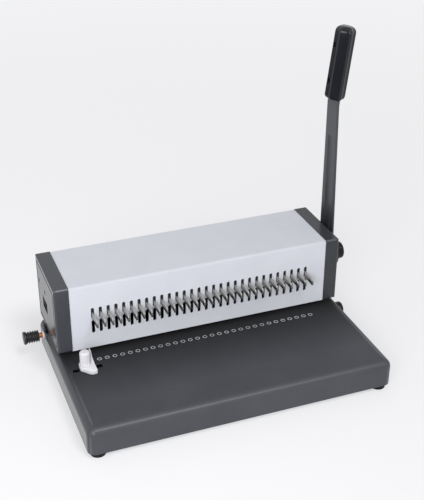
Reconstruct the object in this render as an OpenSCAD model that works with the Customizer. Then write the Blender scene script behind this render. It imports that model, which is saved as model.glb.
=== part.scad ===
// Desk lever punch for loose-leaf sheets. The lever turns a shaft across the housing. Pinions on the
// shaft push the punches down in front of it and lift the comb of fingers behind it.
// Frame: middle of the footprint on the floor, +X to the lever's side, +Y to the back, +Z up.

/* [Punch row] */
// Number of holes in a row
hole_n = 30; // [24:1:32]
// Distance from hole to hole
hole_pitch = 9.5; // [9:0.1:10]
// Radius of a punch pin
pin_r = 3; // [2.5:0.1:3.1]
// Radius of a punch pin's head
pin_head_r = 4; // [3.6:0.1:4.3]
// Height of a punch pin's head
pin_head_h = 3; // [2:0.5:5]
// Height of the resting pin tips above the throat
pin_retract = 1; // [0.5:0.1:2]
// From the last hole to the side frame
row_margin = 20.25; // [20:0.25:30]
// From the housing's front to the hole row
punch_setback = 19.2; // [18.8:0.1:24]

/* [Base] */
// Depth of the table in front of the housing
apron_d = 146.3; // [120:1:200]
// Height of the base without its feet
base_h = 33; // [31:0.5:45]
// Thickness of the base's walls and table
base_wall = 2.5; // [2:0.1:3]
// Radius of the base's upright corners
base_corner_r = 8; // [5:0.5:12]
// Radius of the rounded edge round the table
base_edge_r = 9.5; // [4:0.5:11]
// Thickness of the plate that closes the base
bottom_t = 1.5; // [1:0.1:2.5]
// Radius of a foot
foot_r = 9; // [7:0.5:12]
// Height of a foot
foot_h = 6.6; // [5:0.2:10]
// From the base's side to the middle of a foot
foot_inset_x = 12.5; // [11:0.5:20]
// From the base's front or back to the middle of a foot
foot_inset_y = 11; // [10:0.5:20]
// Radius of a foot screw's shank
foot_screw_r = 2; // [1.5:0.1:2.5]

/* [Housing] */
// Depth of the housing
housing_d = 96.7; // [94:0.5:120]
// Height of the housing
housing_h = 86.7; // [85:0.5:110]
// Gap for the sheets between table and housing
throat_gap = 4.4; // [4.2:0.1:6]
// Thickness of an end cap along the row
cap_t = 18; // [14:0.5:24]
// Wall of an end cap
cap_wall = 3; // [2.4:0.1:3.6]
// Radius of an end cap's edges
cap_edge_r = 2.5; // [1.5:0.1:3]
// From the base's side to the end cap's outer face
cap_setback = 2.9; // [2.9:0.1:6]
// Thickness of the sheet covers
cover_t = 1.5; // [1:0.1:2]
// Step from an end cap's face down to the sheet cover
cover_inset = 0.8; // [0.4:0.1:1.2]
// Outer radius of the fold in the front cover
cover_bend_r = 3; // [2.2:0.1:5]
// Step from the end caps' back to the back cover
back_inset = 2; // [1.8:0.1:4]
// Thickness of a side frame
frame_t = 4; // [3:0.5:6]
// Gap between a side frame and its end cap
frame_gap = 2.6; // [2.5:0.1:5]
// Width of the window in the left cap
window_w = 24; // [15:0.5:26]
// Height of the window in the left cap
window_h = 15.5; // [10:0.5:18]

/* [Slots and fingers] */
// Width of a slot
slot_w = 4; // [3:0.1:4.5]
// Height of a lower slot
lower_slot_h = 18; // [12:0.5:20]
// Bottom of the lower slots above the housing's bottom
lower_slot_z = 19.9; // [19:0.1:24]
// Bridge between a lower and an upper slot
slot_bridge = 2.5; // [2:0.1:4]
// Thickness of a finger
finger_t = 2.4; // [1:0.1:3]
// Height of a finger at its root
finger_h = 6.9; // [6:0.1:9]
// Length of a finger in front of the cover
finger_reach = 21.5; // [14:0.5:24]
// How far a finger's tip turns down below its root
finger_drop = 1.6; // [1:0.2:4]
// Thickness of the bar that carries the fingers
finger_bar_t = 3; // [2:0.2:3.4]

/* [Drive] */
// Height of the drive shaft above the housing's bottom
pivot_h = 42.5; // [42:0.5:48]
// From the housing's front to the drive shaft
pivot_setback = 45.2; // [45:0.1:50]
// Radius of the drive shaft
shaft_r = 5; // [4:0.1:5.2]
// Module of the ram's gear teeth
ram_m = 1.5; // [1.4:0.05:1.6]
// Teeth on a ram pinion
ram_teeth = 14; // [14:2:16]
// Module of the lift's gear teeth
lift_m = 1; // [1:0.05:1.1]
// Teeth on a lift pinion
lift_teeth = 14; // [14:2:14]
// Forward swing of the lever in degrees
lever_swing = 50; // [40:1:60]
// Width of a ram pinion
ram_pinion_w = 14; // [10:0.5:16]
// Width of a lift pinion
lift_pinion_w = 6; // [5:0.5:8]

/* [Punching cassette] */
// Thickness of the die plate
die_t = 8; // [6:0.5:10]
// Depth of the die and guide plates, front to back
plate_d = 20; // [18:0.5:20]
// Thickness of the guide plate
guide_t = 12; // [10:0.5:14]
// Width of a throat spacer
spacer_w = 6.5; // [6:0.1:8]
// From the tops of the guide posts up to the cover
post_top_gap = 6.4; // [4:0.1:8]
// Height of the ram bar
ram_h = 20; // [18:0.5:22]
// From the hole row to the ram bar's front
ram_front = 10; // [9:0.2:10]
// From the hole row to the ram bar's back
ram_back = 6; // [5:0.2:7]
// Thickness of the pin retainer
retainer_t = 3; // [2:0.2:4]
// Radius of a guide post
post_r = 4; // [3:0.1:4.2]
// Wire radius of a return spring
spring_wire_r = 0.7; // [0.5:0.05:0.8]
// Turns of a return spring
spring_turns = 7; // [5:1:9]

/* [Lever] */
// Thickness of the lever's bar
bar_t = 3; // [2.5:0.1:5]
// Width of the bar at the hub
bar_w_low = 35; // [30:0.5:36]
// Width of the bar at the grip
bar_w_high = 26.6; // [22:0.2:28]
// Length of the bar from the shaft to its bend
bar_l = 205; // [150:1:260]
// Backward lean of the resting bar in degrees
bar_lean = 1.5; // [0:0.1:5]
// Outward bend of the bar at the grip in degrees
bar_bend = 7.5; // [0:0.5:10]
// Width of the long groove in the bar
groove_w = 14; // [8:0.5:16]
// Depth of the long groove in the bar
groove_depth = 1; // [0.5:0.1:1.5]
// Radius of the lever's hub
hub_r = 18; // [17.5:0.5:22]
// Thickness of the lever's hub
hub_t = 12.3; // [10:0.5:16]
// Radius of the black cap on the hub
hub_cap_r = 11.2; // [9:0.2:14]
// Length of the black cap on the hub
hub_cap_l = 11.5; // [8.5:0.5:14]
// Gap between the right cap and the lever
lever_gap = 4.6; // [4:0.1:7]
// Width of the grip, front to back
grip_w = 27; // [24:0.5:36]
// Thickness of the grip
grip_t = 23; // [18:0.5:26]
// Length of the grip
grip_l = 89; // [80:1:120]

/* [Edge guide] */
// From the last hole to the guide's resting stop face
guide_stop_margin = 9.25; // [6.25:0.25:10.75]
// From the housing's front to the guide's slot
guide_slot_setback = 32.8; // [30:0.5:40]
// Width of the guide's slot
guide_slot_w = 6.2; // [5:0.1:7]
// Height of the guide's block
guide_block_h = 5.9; // [5:0.1:8]
// Travel of the guide towards the middle
guide_in = 14; // [8:1:20]
// Travel of the guide away from the middle
guide_out = 8; // [4:1:8]
// Radius of the guide's post
guide_post_r = 6.3; // [5.5:0.1:7.2]
// Height of the guide's post
guide_post_h = 18.2; // [16:0.2:24]

/* [Depth stop] */
// Depth of the depth shaft's axis below the table
depth_drop = 9.6; // [9.4:0.1:10.4]
// From the housing's front to the depth shaft
depth_setback = 69.2; // [66:0.2:74]
// Radius of the depth shaft
depth_shaft_r = 2.5; // [2:0.1:2.6]
// Module of the depth stop's gear teeth
depth_m = 0.8; // [0.75:0.05:0.8]
// Teeth on a depth pinion
depth_teeth = 10; // [10:2:10]
// Half the travel of the stop
depth_travel = 2.45; // [1:0.05:2.5]
// From the hole row to the resting stop
hole_margin = 6.5; // [6:0.1:8]
// Radius of the bearing ear on the left wall
ear_r = 13.5; // [12:0.5:20]
// Radius of the ribbed knob
depth_knob_r = 7.5; // [6.5:0.1:9]
// Radius of the ribbed knob's end
depth_knob_end_r = 8.2; // [7:0.1:11]
// Length of the ribbed knob
depth_knob_l = 19; // [15:0.5:24]
// Bare length of the depth shaft between bush and knob
depth_bare = 4.5; // [2:0.5:6]

/* [Chip tray] */
// Width of the tray, front to back
tray_w = 52; // [44:1:54]
// From the hole row to the middle of the tray
tray_offset = 10; // [8:0.5:12]
// Wall of the tray
tray_wall = 1.5; // [1:0.1:2.5]
// Radius of the tray's knob
tray_knob_r = 9; // [7:0.2:10]
// Length of the tray's knob
tray_knob_l = 12; // [8:0.5:14]

/* [Clearances] */
// Radial clearance of a turning or sliding fit
run_c = 0.05; // [0.02:0.01:0.1]
// Clearance beside a moving piece
move_c = 0.3; // [0.2:0.05:0.4]
// Clearance round a piece that is dropped into place
seat_c = 0.2; // [0.1:0.05:0.3]
// Play between gear teeth on each flank
tooth_c = 0.15; // [0.1:0.01:0.2]

/* [Hidden] */
$fn = 48;
// Colours of the finishes
c_dark = [0.27, 0.28, 0.30];
c_silver = [0.80, 0.81, 0.84];
c_steel = [0.66, 0.67, 0.69];
c_black = [0.06, 0.06, 0.07];
c_white = [0.93, 0.93, 0.94];
c_copper = [0.72, 0.40, 0.22];
c_bronze = [0.68, 0.52, 0.28];
// Overlap that makes two cuts or two joined shapes run into each other
eps = 1;
// The row of holes
row_half = (hole_n - 1) * hole_pitch / 2;
row_x = [for (i = [0 : hole_n - 1]) i * hole_pitch - row_half];
sides = [-1, 1];
// Places along the row, from the middle outwards
x_frame_in = row_half + row_margin;
x_frame_out = x_frame_in + frame_t;
x_cap_in = x_frame_out + frame_gap;
x_cap_out = x_cap_in + cap_t;
base_w = 2 * (x_cap_out + cap_setback);
x_base = base_w / 2;
x_base_in = x_base - base_wall;
x_lever = x_cap_out + lever_gap;
x_hub = x_lever + hub_t;
// Places from front to back
base_d = apron_d + housing_d;
y_base = base_d / 2;
y_front = y_base - housing_d;
y_cover_in = y_front + cover_inset + cover_t;
y_back_out = y_base - back_inset;
y_back_in = y_back_out - cover_t;
y_punch = y_front + punch_setback;
y_pivot = y_front + pivot_setback;
y_plate = y_punch - plate_d / 2;
y_ram = y_punch - ram_front;
y_ram_back = y_punch + ram_back;
y_depth = y_front + depth_setback;
y_tray = y_punch - tray_offset;
y_guide_slot = y_front - guide_slot_setback;
// Heights
z_bottom = foot_h + bottom_t;
z_table = foot_h + base_h;
z_under = z_table - base_wall;
z_house = z_table + throat_gap;
z_top = z_house + housing_h;
z_cover_in = z_top - cover_inset - cover_t;
z_die = z_table - die_t;
z_guide_top = z_house + guide_t;
post_spare = 3;
z_post_top = z_cover_in - post_top_gap;
z_ram_top = z_post_top - post_spare - retainer_t;
z_ram = z_ram_top - ram_h;
z_pivot = z_house + pivot_h;
z_depth = z_table - depth_drop;
// Gear sizes with stub teeth
pressure_angle = 20;
tooth_add = 0.8;
tooth_ded = 1.05;
flank_steps = 4;
ram_pitch_r = ram_m * ram_teeth / 2;
lift_pitch_r = lift_m * lift_teeth / 2;
depth_pitch_r = depth_m * depth_teeth / 2;
lift_stroke = lift_pitch_r * lever_swing * PI / 180;
// Fingers and their slots
finger_rest = 0.4;
z_lower_slot = z_house + lower_slot_z;
z_upper_slot = z_lower_slot + lower_slot_h + slot_bridge;
z_finger = z_upper_slot + finger_rest;
upper_slot_h = finger_rest + finger_h + lift_stroke + 2 * finger_rest;
y_finger_bar = y_cover_in + move_c;
y_finger_back = y_finger_bar + finger_bar_t;
finger_bar_margin = 16;
x_finger_bar = row_half + finger_bar_margin;
finger_bar_rise = 8;
finger_bar_h = finger_h + finger_bar_rise;
finger_tip_w = 3.2;
finger_rise = 2.4;
// The lift's arms pass between two neighbouring pins
lift_gap_n = floor(hole_n / 2) - 2 + (hole_n % 2) / 2;
lift_x = lift_gap_n * hole_pitch;
lift_arm_t = hole_pitch - 2 * pin_r - 4 * move_c;
lift_arm_h = 6;
lift_arm_rise = 4;
lift_leg_w = 8;
lift_rack_back = 6;
z_lift_arm = z_guide_top + lift_arm_rise;
ram_rack_w = 12;
pinion_gap = 3.5;
ram_rack_x = lift_x - (lift_pinion_w + ram_pinion_w) / 2 - pinion_gap;
comb_guide_spare = 4;
// Posts and springs
post_inset = 9.5;
post_seat = 8;
x_post = x_frame_in - post_inset;
spring_gap = 0.4;
spring_r = post_r + spring_gap + spring_wire_r;
ram_end_gap = 3;
x_ram = x_frame_in - ram_end_gap;
x_retainer = x_post - post_r - post_spare;
// Feet
foot_bevel = 1.5;
foot_head_out = 1.6;
foot_head_r = foot_screw_r + foot_head_out;
foot_boss_wall = 3;
// Small screws: shank, head and head height
screw_r = 1.5;
screw_head_r = 2.8;
screw_head_h = 2;
screw_l = 10;
// How much deeper a blind hole is than what it holds
hole_spare = 0.5;
frame_screw_r = 2;
frame_screw_head_r = 3.6;
frame_flange_t = 3.5;
frame_flange_w = 12;
frame_front = 5.2;
frame_top_gap = 6;
frame_screw_front = 12;
frame_screw_back = 20;
frame_screw_y = [y_front + frame_screw_front, y_pivot, y_base - frame_screw_back];
x_frame_screw = x_frame_out + frame_flange_w / 2;
guide_screw_gap = 1.5;
guide_screw_l = post_inset - post_r - guide_screw_gap;
die_floor = 1;
cassette_screw_out = 6;
cassette_screw_y = [y_punch - cassette_screw_out, y_punch + cassette_screw_out];
// Screws of the end caps, seen on their outer faces
cap_screw_back = 13.5;
cap_screw_apart = 32;
cap_screw_rise = 14;
cap_screw_y = [y_base - cap_screw_back - cap_screw_apart, y_base - cap_screw_back];
cap_screw_z = z_pivot + cap_screw_rise;
cap_boss_r = 4;
cap_screw_head_r = 3;
cap_screw_sink = 2.2;
driver_slot = 0.8;
cap_groove_inset = 5;
cap_groove_w = 1.2;
cap_groove_depth = 0.8;
cap_lip_l = 2.4;
cap_lip_t = 2.2;
window_rim = 4;
window_setback = 44.2;
window_rise = 28.5;
window_y = y_front + window_setback;
window_z = z_house + window_rise;
shaft_window_gap = 2.5;
shaft_window_r = shaft_r + shaft_window_gap;
// Bushes and collars on the drive shaft
bush_wall = 3.5;
bush_r = shaft_r + bush_wall;
bush_flange_t = 2;
bush_flange_out = 2;
bush_flange_r = bush_r + bush_flange_out;
collar_wall = 5;
collar_r = shaft_r + collar_wall;
collar_l = 6;
shaft_tail = 5;
spacer_wall = 4;
bush_tail = 2;
// Lever and grip
bar_mid = bar_t / 2;
tang_short = 12;
tang_l = grip_l - tang_short;
tang_w = 19;
grip_start = 6;
grip_flat = 11;
grip_seam_w = 3;
// Radii of the grip's top, seen from the front and from the side
grip_front_r = 7.5;
grip_side_r = 7.5;
grip_screw_inset = 22.7;
grip_screw_h = [grip_start + grip_screw_inset, grip_start + grip_l - grip_screw_inset];
grip_screw_head_r = 3;
grip_wall = 4.6;
grip_screw_out = 5;
groove_hub_gap = 12;
groove_bend_gap = 39;
groove_low = hub_r + groove_hub_gap;
groove_high = bar_l - groove_bend_gap;
hub_bore_l = 8;
// Rounded rim of the hub cap and the tray's knob
knob_rim = 2.5;
// Edge guide
guide_stop_x = row_half + guide_stop_margin;
guide_block_l = 18;
guide_block_front = 15;
guide_block_back = 8;
guide_nose_w = 7.5;
guide_chamfer = 11.5;
guide_stem_r = 2;
guide_knob_back = 11;
guide_knob_x = -guide_stop_x - guide_knob_back;
guide_tongue_l = 12;
guide_lift = 0.1;
guide_nut_l = 16;
guide_nut_t = 3.2;
guide_foot_r = 4.6;
guide_foot_t = 1.6;
flute_n = 10;
flute_r = 1;
flute_out = 0.4;
flute_low = 3;
guide_fin_t = 7;
guide_fin_tip = 0.8;
guide_fin_drop = 1.2;
z_guide_block = z_table + guide_lift;
z_guide_top_face = z_guide_block + guide_block_h;
// Depth stop
stop_end = 2.5;
stop_half = row_half + stop_end;
stop_d = 13;
stop_leg_d = 4;
depth_arm_inset = 37.5;
depth_arm_x = row_half - depth_arm_inset;
depth_arm_w = 8;
depth_arm_spare = 1;
y_stop = y_punch + hole_margin;
y_stop_back = y_stop + stop_d;
z_stop_bottom = z_table + seat_c;
z_stop_top = z_house - 2 * seat_c;
z_depth_arm = z_under - seat_c;
depth_bush_wall = 1.6;
depth_bush_r = depth_shaft_r + depth_bush_wall;
depth_bush_flange_w = 2.8;
depth_bush_flange_r = depth_shaft_r + depth_bush_flange_w;
depth_bush_flange_t = 2;
depth_bush_tail = 3;
depth_bracket_t = 3;
depth_bracket_w = 16;
depth_bracket_drop = 6;
depth_bracket_gap = 10;
x_depth_bracket = depth_arm_x + depth_bracket_gap;
depth_shaft_tail = 4;
depth_shoulder = 0.9;
x_depth_knob = -x_base - depth_bush_flange_t - depth_bare;
x_depth_end = x_depth_knob - depth_knob_l;
depth_knob_bottom = 3.5;
depth_rib_n = 5;
depth_rib_depth = 0.9;
depth_rib_share = 0.65;
depth_end_share = 0.28;
// Chip tray
tray_face_t = 3;
tray_left_gap = 6;
z_tray = z_bottom + seat_c;
z_tray_top = z_die - move_c - seat_c;
x_tray_left = -x_frame_in + tray_left_gap;
runner_w = 3.2;
runner_h = 12;
runner_gap = 4;
tray_stud_r = 2.5;
tray_knob_neck_r = 6;

// Flat shapes

// Rectangle with rounded corners, centred
module round_rect(w, d, r) {
    square([w, d - 2 * r], center = true);
    square([w - 2 * r, d], center = true);
    for (sx = sides, sy = sides)
        translate([sx * (w / 2 - r), sy * (d / 2 - r)]) circle(r = r);
}

// Rectangle from z0 to z1, centred across, with its two upper corners rounded
module round_top(w, z0, z1, r) {
    translate([-w / 2, z0]) square([w, z1 - z0 - r]);
    translate([-w / 2 + r, z1 - 2 * r]) square([w - 2 * r, 2 * r]);
    for (s = sides) translate([s * (w / 2 - r), z1 - r]) circle(r = r);
}

// Upright slot with round ends, standing on its lower end
module slot_2d(w, h) {
    translate([-w / 2, w / 2]) square([w, h - w]);
    translate([0, w / 2]) circle(d = w);
    translate([0, h - w / 2]) circle(d = w);
}

// Placing helpers

// Extrudes a front-to-back and height outline along X
module along_x(x0, x1) {
    translate([x0, 0, 0]) rotate([90, 0, 90]) linear_extrude(x1 - x0) children();
}

// Extrudes a width and height outline along Y
module along_y(y0, y1) {
    translate([0, y1, 0]) rotate([90, 0, 0]) linear_extrude(y1 - y0) children();
}

// Round rod along X
module rod_x(x0, x1, r, y, z) {
    translate([x0, y, z]) rotate([0, 90, 0]) cylinder(h = x1 - x0, r = r);
}

// Round rod along Z
module rod_z(z0, z1, r, x, y) {
    translate([x, y, z0]) cylinder(h = z1 - z0, r = r);
}

// Box between two corners
module box(low, high) {
    translate(low) cube(high - low);
}

// A shape on the right and its mirror image on the left
module both_sides() {
    children();
    mirror([1, 0, 0]) children();
}

// Places a shape made round the lever's shaft into the leaning lever
module in_lever() {
    translate([x_lever, y_pivot, z_pivot]) rotate([-bar_lean, 0, 0]) children();
}

// Places a shape made round the bar's bend into the bent end
module in_bend() {
    in_lever() translate([bar_mid, 0, bar_l]) rotate([0, bar_bend, 0]) children();
}

// Gear teeth

function involute(a) = tan(a) * 180 / PI - a;
function polar(r, a) = [r * cos(a), r * sin(a)];

// Half the angle that a tooth takes at radius r
function tooth_half(r, m, n) =
    let (pitch_r = m * n / 2, base_r = pitch_r * cos(pressure_angle))
    90 / n - tooth_c / pitch_r * 180 / PI + involute(pressure_angle)
    - involute(acos(min(1, base_r / max(r, base_r))));

function tooth_radii(m, n) =
    let (low = m * n / 2 * cos(pressure_angle), high = m * (n / 2 + tooth_add))
    [for (i = [0 : flank_steps]) low + (high - low) * i / flank_steps];

function tooth_points(m, n, a) =
    let (radii = tooth_radii(m, n), root_r = m * (n / 2 - tooth_ded), last = len(radii) - 1)
    concat([polar(root_r, a - tooth_half(radii[0], m, n))],
        [for (r = radii) polar(r, a - tooth_half(r, m, n))],
        [for (i = [last : -1 : 0]) polar(radii[i], a + tooth_half(radii[i], m, n))],
        [polar(root_r, a + tooth_half(radii[0], m, n))]);

// Spur gear with a tooth at the angle given
module gear_2d(m, n, start, bore_r) {
    difference() {
        polygon([for (i = [0 : n - 1]) each tooth_points(m, n, start + i * 360 / n)]);
        circle(r = bore_r);
    }
}

// Rack teeth as points [along, out], between two places along, with a gap at along 0
function rack_points(m, low, high) =
    let (p = PI * m, first = ceil(low / p), last = floor(high / p) - 1,
        slope = tan(pressure_angle), mid = p / 4 - tooth_c,
        tip = mid - tooth_add * m * slope, root = mid + tooth_ded * m * slope)
    [for (k = [first : last]) let (c = (k + 0.5) * p)
        each [[c - root, -tooth_ded * m], [c - tip, tooth_add * m],
            [c + tip, tooth_add * m], [c + root, -tooth_ded * m]]];

// Base

// Rounded block from the feet up, drawn in all round and lowered by a wall
module base_block(wall, z0) {
    edge_r = base_edge_r - wall;
    intersection() {
        translate([0, 0, z0]) linear_extrude(z_table - wall - z0)
            round_rect(base_w - 2 * wall, base_d - 2 * wall, base_corner_r - wall);
        along_y(-y_base, y_base) round_top(base_w - 2 * wall, z0, z_table - wall, edge_r);
        along_x(-x_base, x_base) round_top(base_d - 2 * wall, z0, z_table - wall, edge_r);
    }
}

module foot_places() {
    for (sx = sides, sy = sides)
        translate([sx * (x_base - foot_inset_x), sy * (y_base - foot_inset_y), 0]) children();
}

module frame_screw_places() {
    for (s = sides, y = frame_screw_y) translate([s * x_frame_screw, y, 0]) children();
}

// Table and walls in one casting, open below, with the bearing ear on its left wall
module base_shell() {
    boss_r = foot_screw_r + foot_boss_wall;
    color(c_dark) difference() {
        union() {
            difference() {
                base_block(0, foot_h);
                base_block(base_wall, foot_h - eps);
            }
            foot_places() rod_z(z_bottom, z_under + base_wall / 2, boss_r, 0, 0);
            rod_x(-x_base, -x_base + base_wall, ear_r, y_depth, z_depth);
        }
        box([-x_base - eps, -y_base, -ear_r], [-x_base + base_wall + eps, y_base, foot_h]);
        foot_places() rod_z(z_bottom - eps, z_under - base_wall, foot_screw_r + run_c, 0, 0);
        frame_screw_places() rod_z(z_under - eps, z_table + eps, frame_screw_r + run_c, 0, 0);
        box([-x_frame_in, y_plate - seat_c, z_under - eps],
            [x_frame_in, y_plate + plate_d + seat_c, z_table + eps]);
        box([-guide_stop_x - guide_block_l - guide_out, y_guide_slot - guide_slot_w / 2, z_under - eps],
            [guide_knob_x + guide_tongue_l / 2 + guide_in + move_c, y_guide_slot + guide_slot_w / 2,
                z_table + eps]);
        for (s = sides)
            box([s * depth_arm_x - depth_arm_w / 2 - move_c, y_stop_back - stop_leg_d - depth_travel - move_c,
                    z_under - eps],
                [s * depth_arm_x + depth_arm_w / 2 + move_c, y_stop_back + depth_travel + move_c,
                    z_table + eps]);
        box([x_base_in - eps, y_tray - tray_w / 2 - move_c, foot_h - eps],
            [x_base + eps, y_tray + tray_w / 2 + move_c, z_tray_top + move_c]);
        rod_x(-x_base - eps, -x_base_in + eps, depth_bush_r + run_c, y_depth, z_depth);
    }
}

// Sheet that closes the base from below
module bottom_plate() {
    plate_r = base_corner_r - base_wall;
    color(c_steel) difference() {
        translate([0, 0, foot_h]) linear_extrude(bottom_t)
            round_rect(base_w - 2 * base_wall - 2 * seat_c, base_d - 2 * base_wall - 2 * seat_c, plate_r);
        foot_places() rod_z(foot_h - eps, z_bottom + eps, foot_screw_r + seat_c, 0, 0);
    }
}

module rubber_feet() {
    color(c_black) foot_places() difference() {
        rotate_extrude()
            polygon([[0, 0], [foot_r - foot_bevel, 0], [foot_r, foot_bevel], [foot_r, foot_h], [0, foot_h]]);
        rod_z(-eps, foot_h + eps, foot_screw_r + seat_c, 0, 0);
        rod_z(-eps, foot_h / 2, foot_head_r + 4 * seat_c, 0, 0);
    }
}

module foot_screws() {
    color(c_steel) foot_places() union() {
        rod_z(foot_h / 2 - screw_head_h, foot_h / 2, foot_head_r, 0, 0);
        rod_z(foot_h / 2 - screw_head_h, z_bottom + screw_l, foot_screw_r, 0, 0);
    }
}

// Side frames and punching cassette

// Upright steel plates with a foot that is screwed to the table
module side_frames() {
    z_frame_top = z_cover_in - frame_top_gap;
    color(c_steel) both_sides() difference() {
        union() {
            along_x(x_frame_in, x_frame_out)
                polygon([[y_front + frame_front, z_table], [y_back_in, z_table], [y_back_in, z_frame_top],
                    [y_front + frame_front, z_frame_top]]);
            box([x_frame_in, y_front + frame_front, z_table],
                [x_frame_out + frame_flange_w, y_back_in, z_table + frame_flange_t]);
        }
        rod_x(x_frame_in - eps, x_frame_out + eps, bush_r, y_pivot, z_pivot);
        for (y = frame_screw_y)
            rod_z(z_table - eps, z_table + frame_flange_t - hole_spare, frame_screw_r + run_c,
                x_frame_screw, y);
        rod_x(x_frame_in - eps, x_frame_out + eps, frame_screw_r + run_c, y_punch, z_house + guide_t / 2);
        for (y = cap_screw_y)
            rod_x(x_frame_in - eps, x_frame_out + eps, screw_r + run_c, y, cap_screw_z);
        for (z = back_screw_z())
            translate([(x_frame_in + x_frame_out) / 2, 0, 0]) along_y(y_back_in - screw_l, y_back_in + eps)
                translate([0, z]) circle(r = back_screw_r + run_c);
    }
}

// Screws that come up through the table into the frames' feet
module frame_screws() {
    color(c_steel) frame_screw_places() union() {
        rod_z(z_under - screw_head_h, z_under, frame_screw_head_r, 0, 0);
        rod_z(z_under - screw_head_h, z_table + frame_flange_t - 2 * hole_spare, frame_screw_r, 0, 0);
    }
}

module cassette_screw_places() {
    for (s = sides, y = cassette_screw_y)
        translate([s * (x_frame_in - spacer_w / 2), y, 0]) children();
}

// Lower plate of the cassette: the pins shear the sheets against its holes
module die_plate() {
    color(c_steel) difference() {
        box([-x_frame_in + seat_c, y_plate, z_die], [x_frame_in - seat_c, y_plate + plate_d, z_table]);
        for (x = row_x) rod_z(z_die - eps, z_table + eps, pin_r + run_c, x, y_punch);
        cassette_screw_places() rod_z(z_die + die_floor, z_table + eps, screw_r + run_c, 0, 0);
    }
}

// Upper plate of the cassette, which guides the pins and strips the sheets off them
module guide_plate() {
    color(c_steel) difference() {
        box([-x_frame_in, y_plate, z_house], [x_frame_in, y_plate + plate_d, z_guide_top]);
        for (x = row_x) rod_z(z_house - eps, z_guide_top + eps, pin_r + run_c, x, y_punch);
        for (s = sides)
            rod_z(z_guide_top - post_seat, z_guide_top + eps, post_r + run_c, s * x_post, y_punch);
        cassette_screw_places() rod_z(z_house - eps, z_guide_top + eps, screw_r + run_c, 0, 0);
        both_sides() rod_x(x_frame_in - guide_screw_l - hole_spare, x_frame_in + eps, frame_screw_r + run_c,
            y_punch, z_house + guide_t / 2);
    }
}

module throat_spacers() {
    color(c_steel) both_sides() difference() {
        box([x_frame_in - spacer_w, y_plate, z_table], [x_frame_in, y_plate + plate_d, z_house]);
        for (y = cassette_screw_y)
            rod_z(z_table - eps, z_house + eps, screw_r + run_c, x_frame_in - spacer_w / 2, y);
    }
}

// Long screws that hold die plate, spacers and guide plate together
module cassette_screws() {
    color(c_steel) cassette_screw_places() union() {
        rod_z(z_guide_top, z_guide_top + screw_head_h, screw_head_r, 0, 0);
        rod_z(z_die + die_floor + hole_spare, z_guide_top + screw_head_h, screw_r, 0, 0);
    }
}

// Screws through the side frames into the ends of the guide plate
module guide_screws() {
    z_mid = z_house + guide_t / 2;
    color(c_steel) both_sides() union() {
        rod_x(x_frame_out, x_frame_out + screw_head_h, frame_screw_head_r, y_punch, z_mid);
        rod_x(x_frame_in - guide_screw_l, x_frame_out + screw_head_h, frame_screw_r, y_punch, z_mid);
    }
}

module guide_posts() {
    color(c_steel) for (s = sides) rod_z(z_guide_top - post_seat, z_post_top, post_r, s * x_post, y_punch);
}

// Return springs round the guide posts

spring_rings = 8;
spring_sides = 6;
spring_end_gap = 0.05;
spring_z0 = z_guide_top + spring_wire_r + spring_end_gap;
spring_z1 = z_ram - spring_wire_r - spring_end_gap;
spring_steps = spring_turns * spring_rings;
spring_rise = (spring_z1 - spring_z0) / spring_turns;
echo(spring_least_gap = spring_rise * cos(atan(spring_rise / (2 * PI * spring_r))) - 2 * spring_wire_r);

function spring_ring(i) =
    let (a = i * 360 / spring_rings, z = spring_z0 + spring_rise * i / spring_rings)
    [for (k = [0 : spring_sides - 1]) let (b = k * 360 / spring_sides, r = spring_r + spring_wire_r * cos(b))
        [r * cos(a), r * sin(a), z + spring_wire_r * sin(b)]];

spring_points = [for (i = [0 : spring_steps]) each spring_ring(i)];
spring_side_faces = [for (i = [0 : spring_steps - 1], k = [0 : spring_sides - 1])
    let (a = i * spring_sides + k, b = i * spring_sides + (k + 1) % spring_sides)
    each [[a, b, a + spring_sides], [b, b + spring_sides, a + spring_sides]]];
spring_end_faces = [for (k = [1 : spring_sides - 2]) let (e = spring_steps * spring_sides)
    each [[0, k + 1, k], [e, e + k, e + k + 1]]];

module return_springs() {
    color(c_steel) for (s = sides) translate([s * x_post, y_punch, 0])
        polyhedron(spring_points, concat(spring_side_faces, spring_end_faces));
}

// Flanged bearings of the drive shaft, pushed into the frames from inside
module shaft_bushes() {
    color(c_bronze) both_sides() difference() {
        union() {
            rod_x(x_frame_in, x_frame_out + bush_tail, bush_r - run_c, y_pivot, z_pivot);
            rod_x(x_frame_in - bush_flange_t, x_frame_in, bush_flange_r, y_pivot, z_pivot);
        }
        rod_x(x_frame_in - bush_flange_t - eps, x_frame_out + bush_tail + eps, shaft_r + run_c,
            y_pivot, z_pivot);
    }
}

// Strips on the side frames that keep the finger bar against the cover
module comb_guides() {
    z_low = z_upper_slot - comb_guide_spare;
    z_high = z_finger + finger_bar_h + lift_stroke + comb_guide_spare;
    y_guide = y_finger_back + move_c;
    color(c_steel) both_sides()
        box([x_finger_bar - comb_guide_spare, y_guide, z_low], [x_frame_in, y_ram - move_c, z_high]);
}

// Covers and end caps

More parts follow.
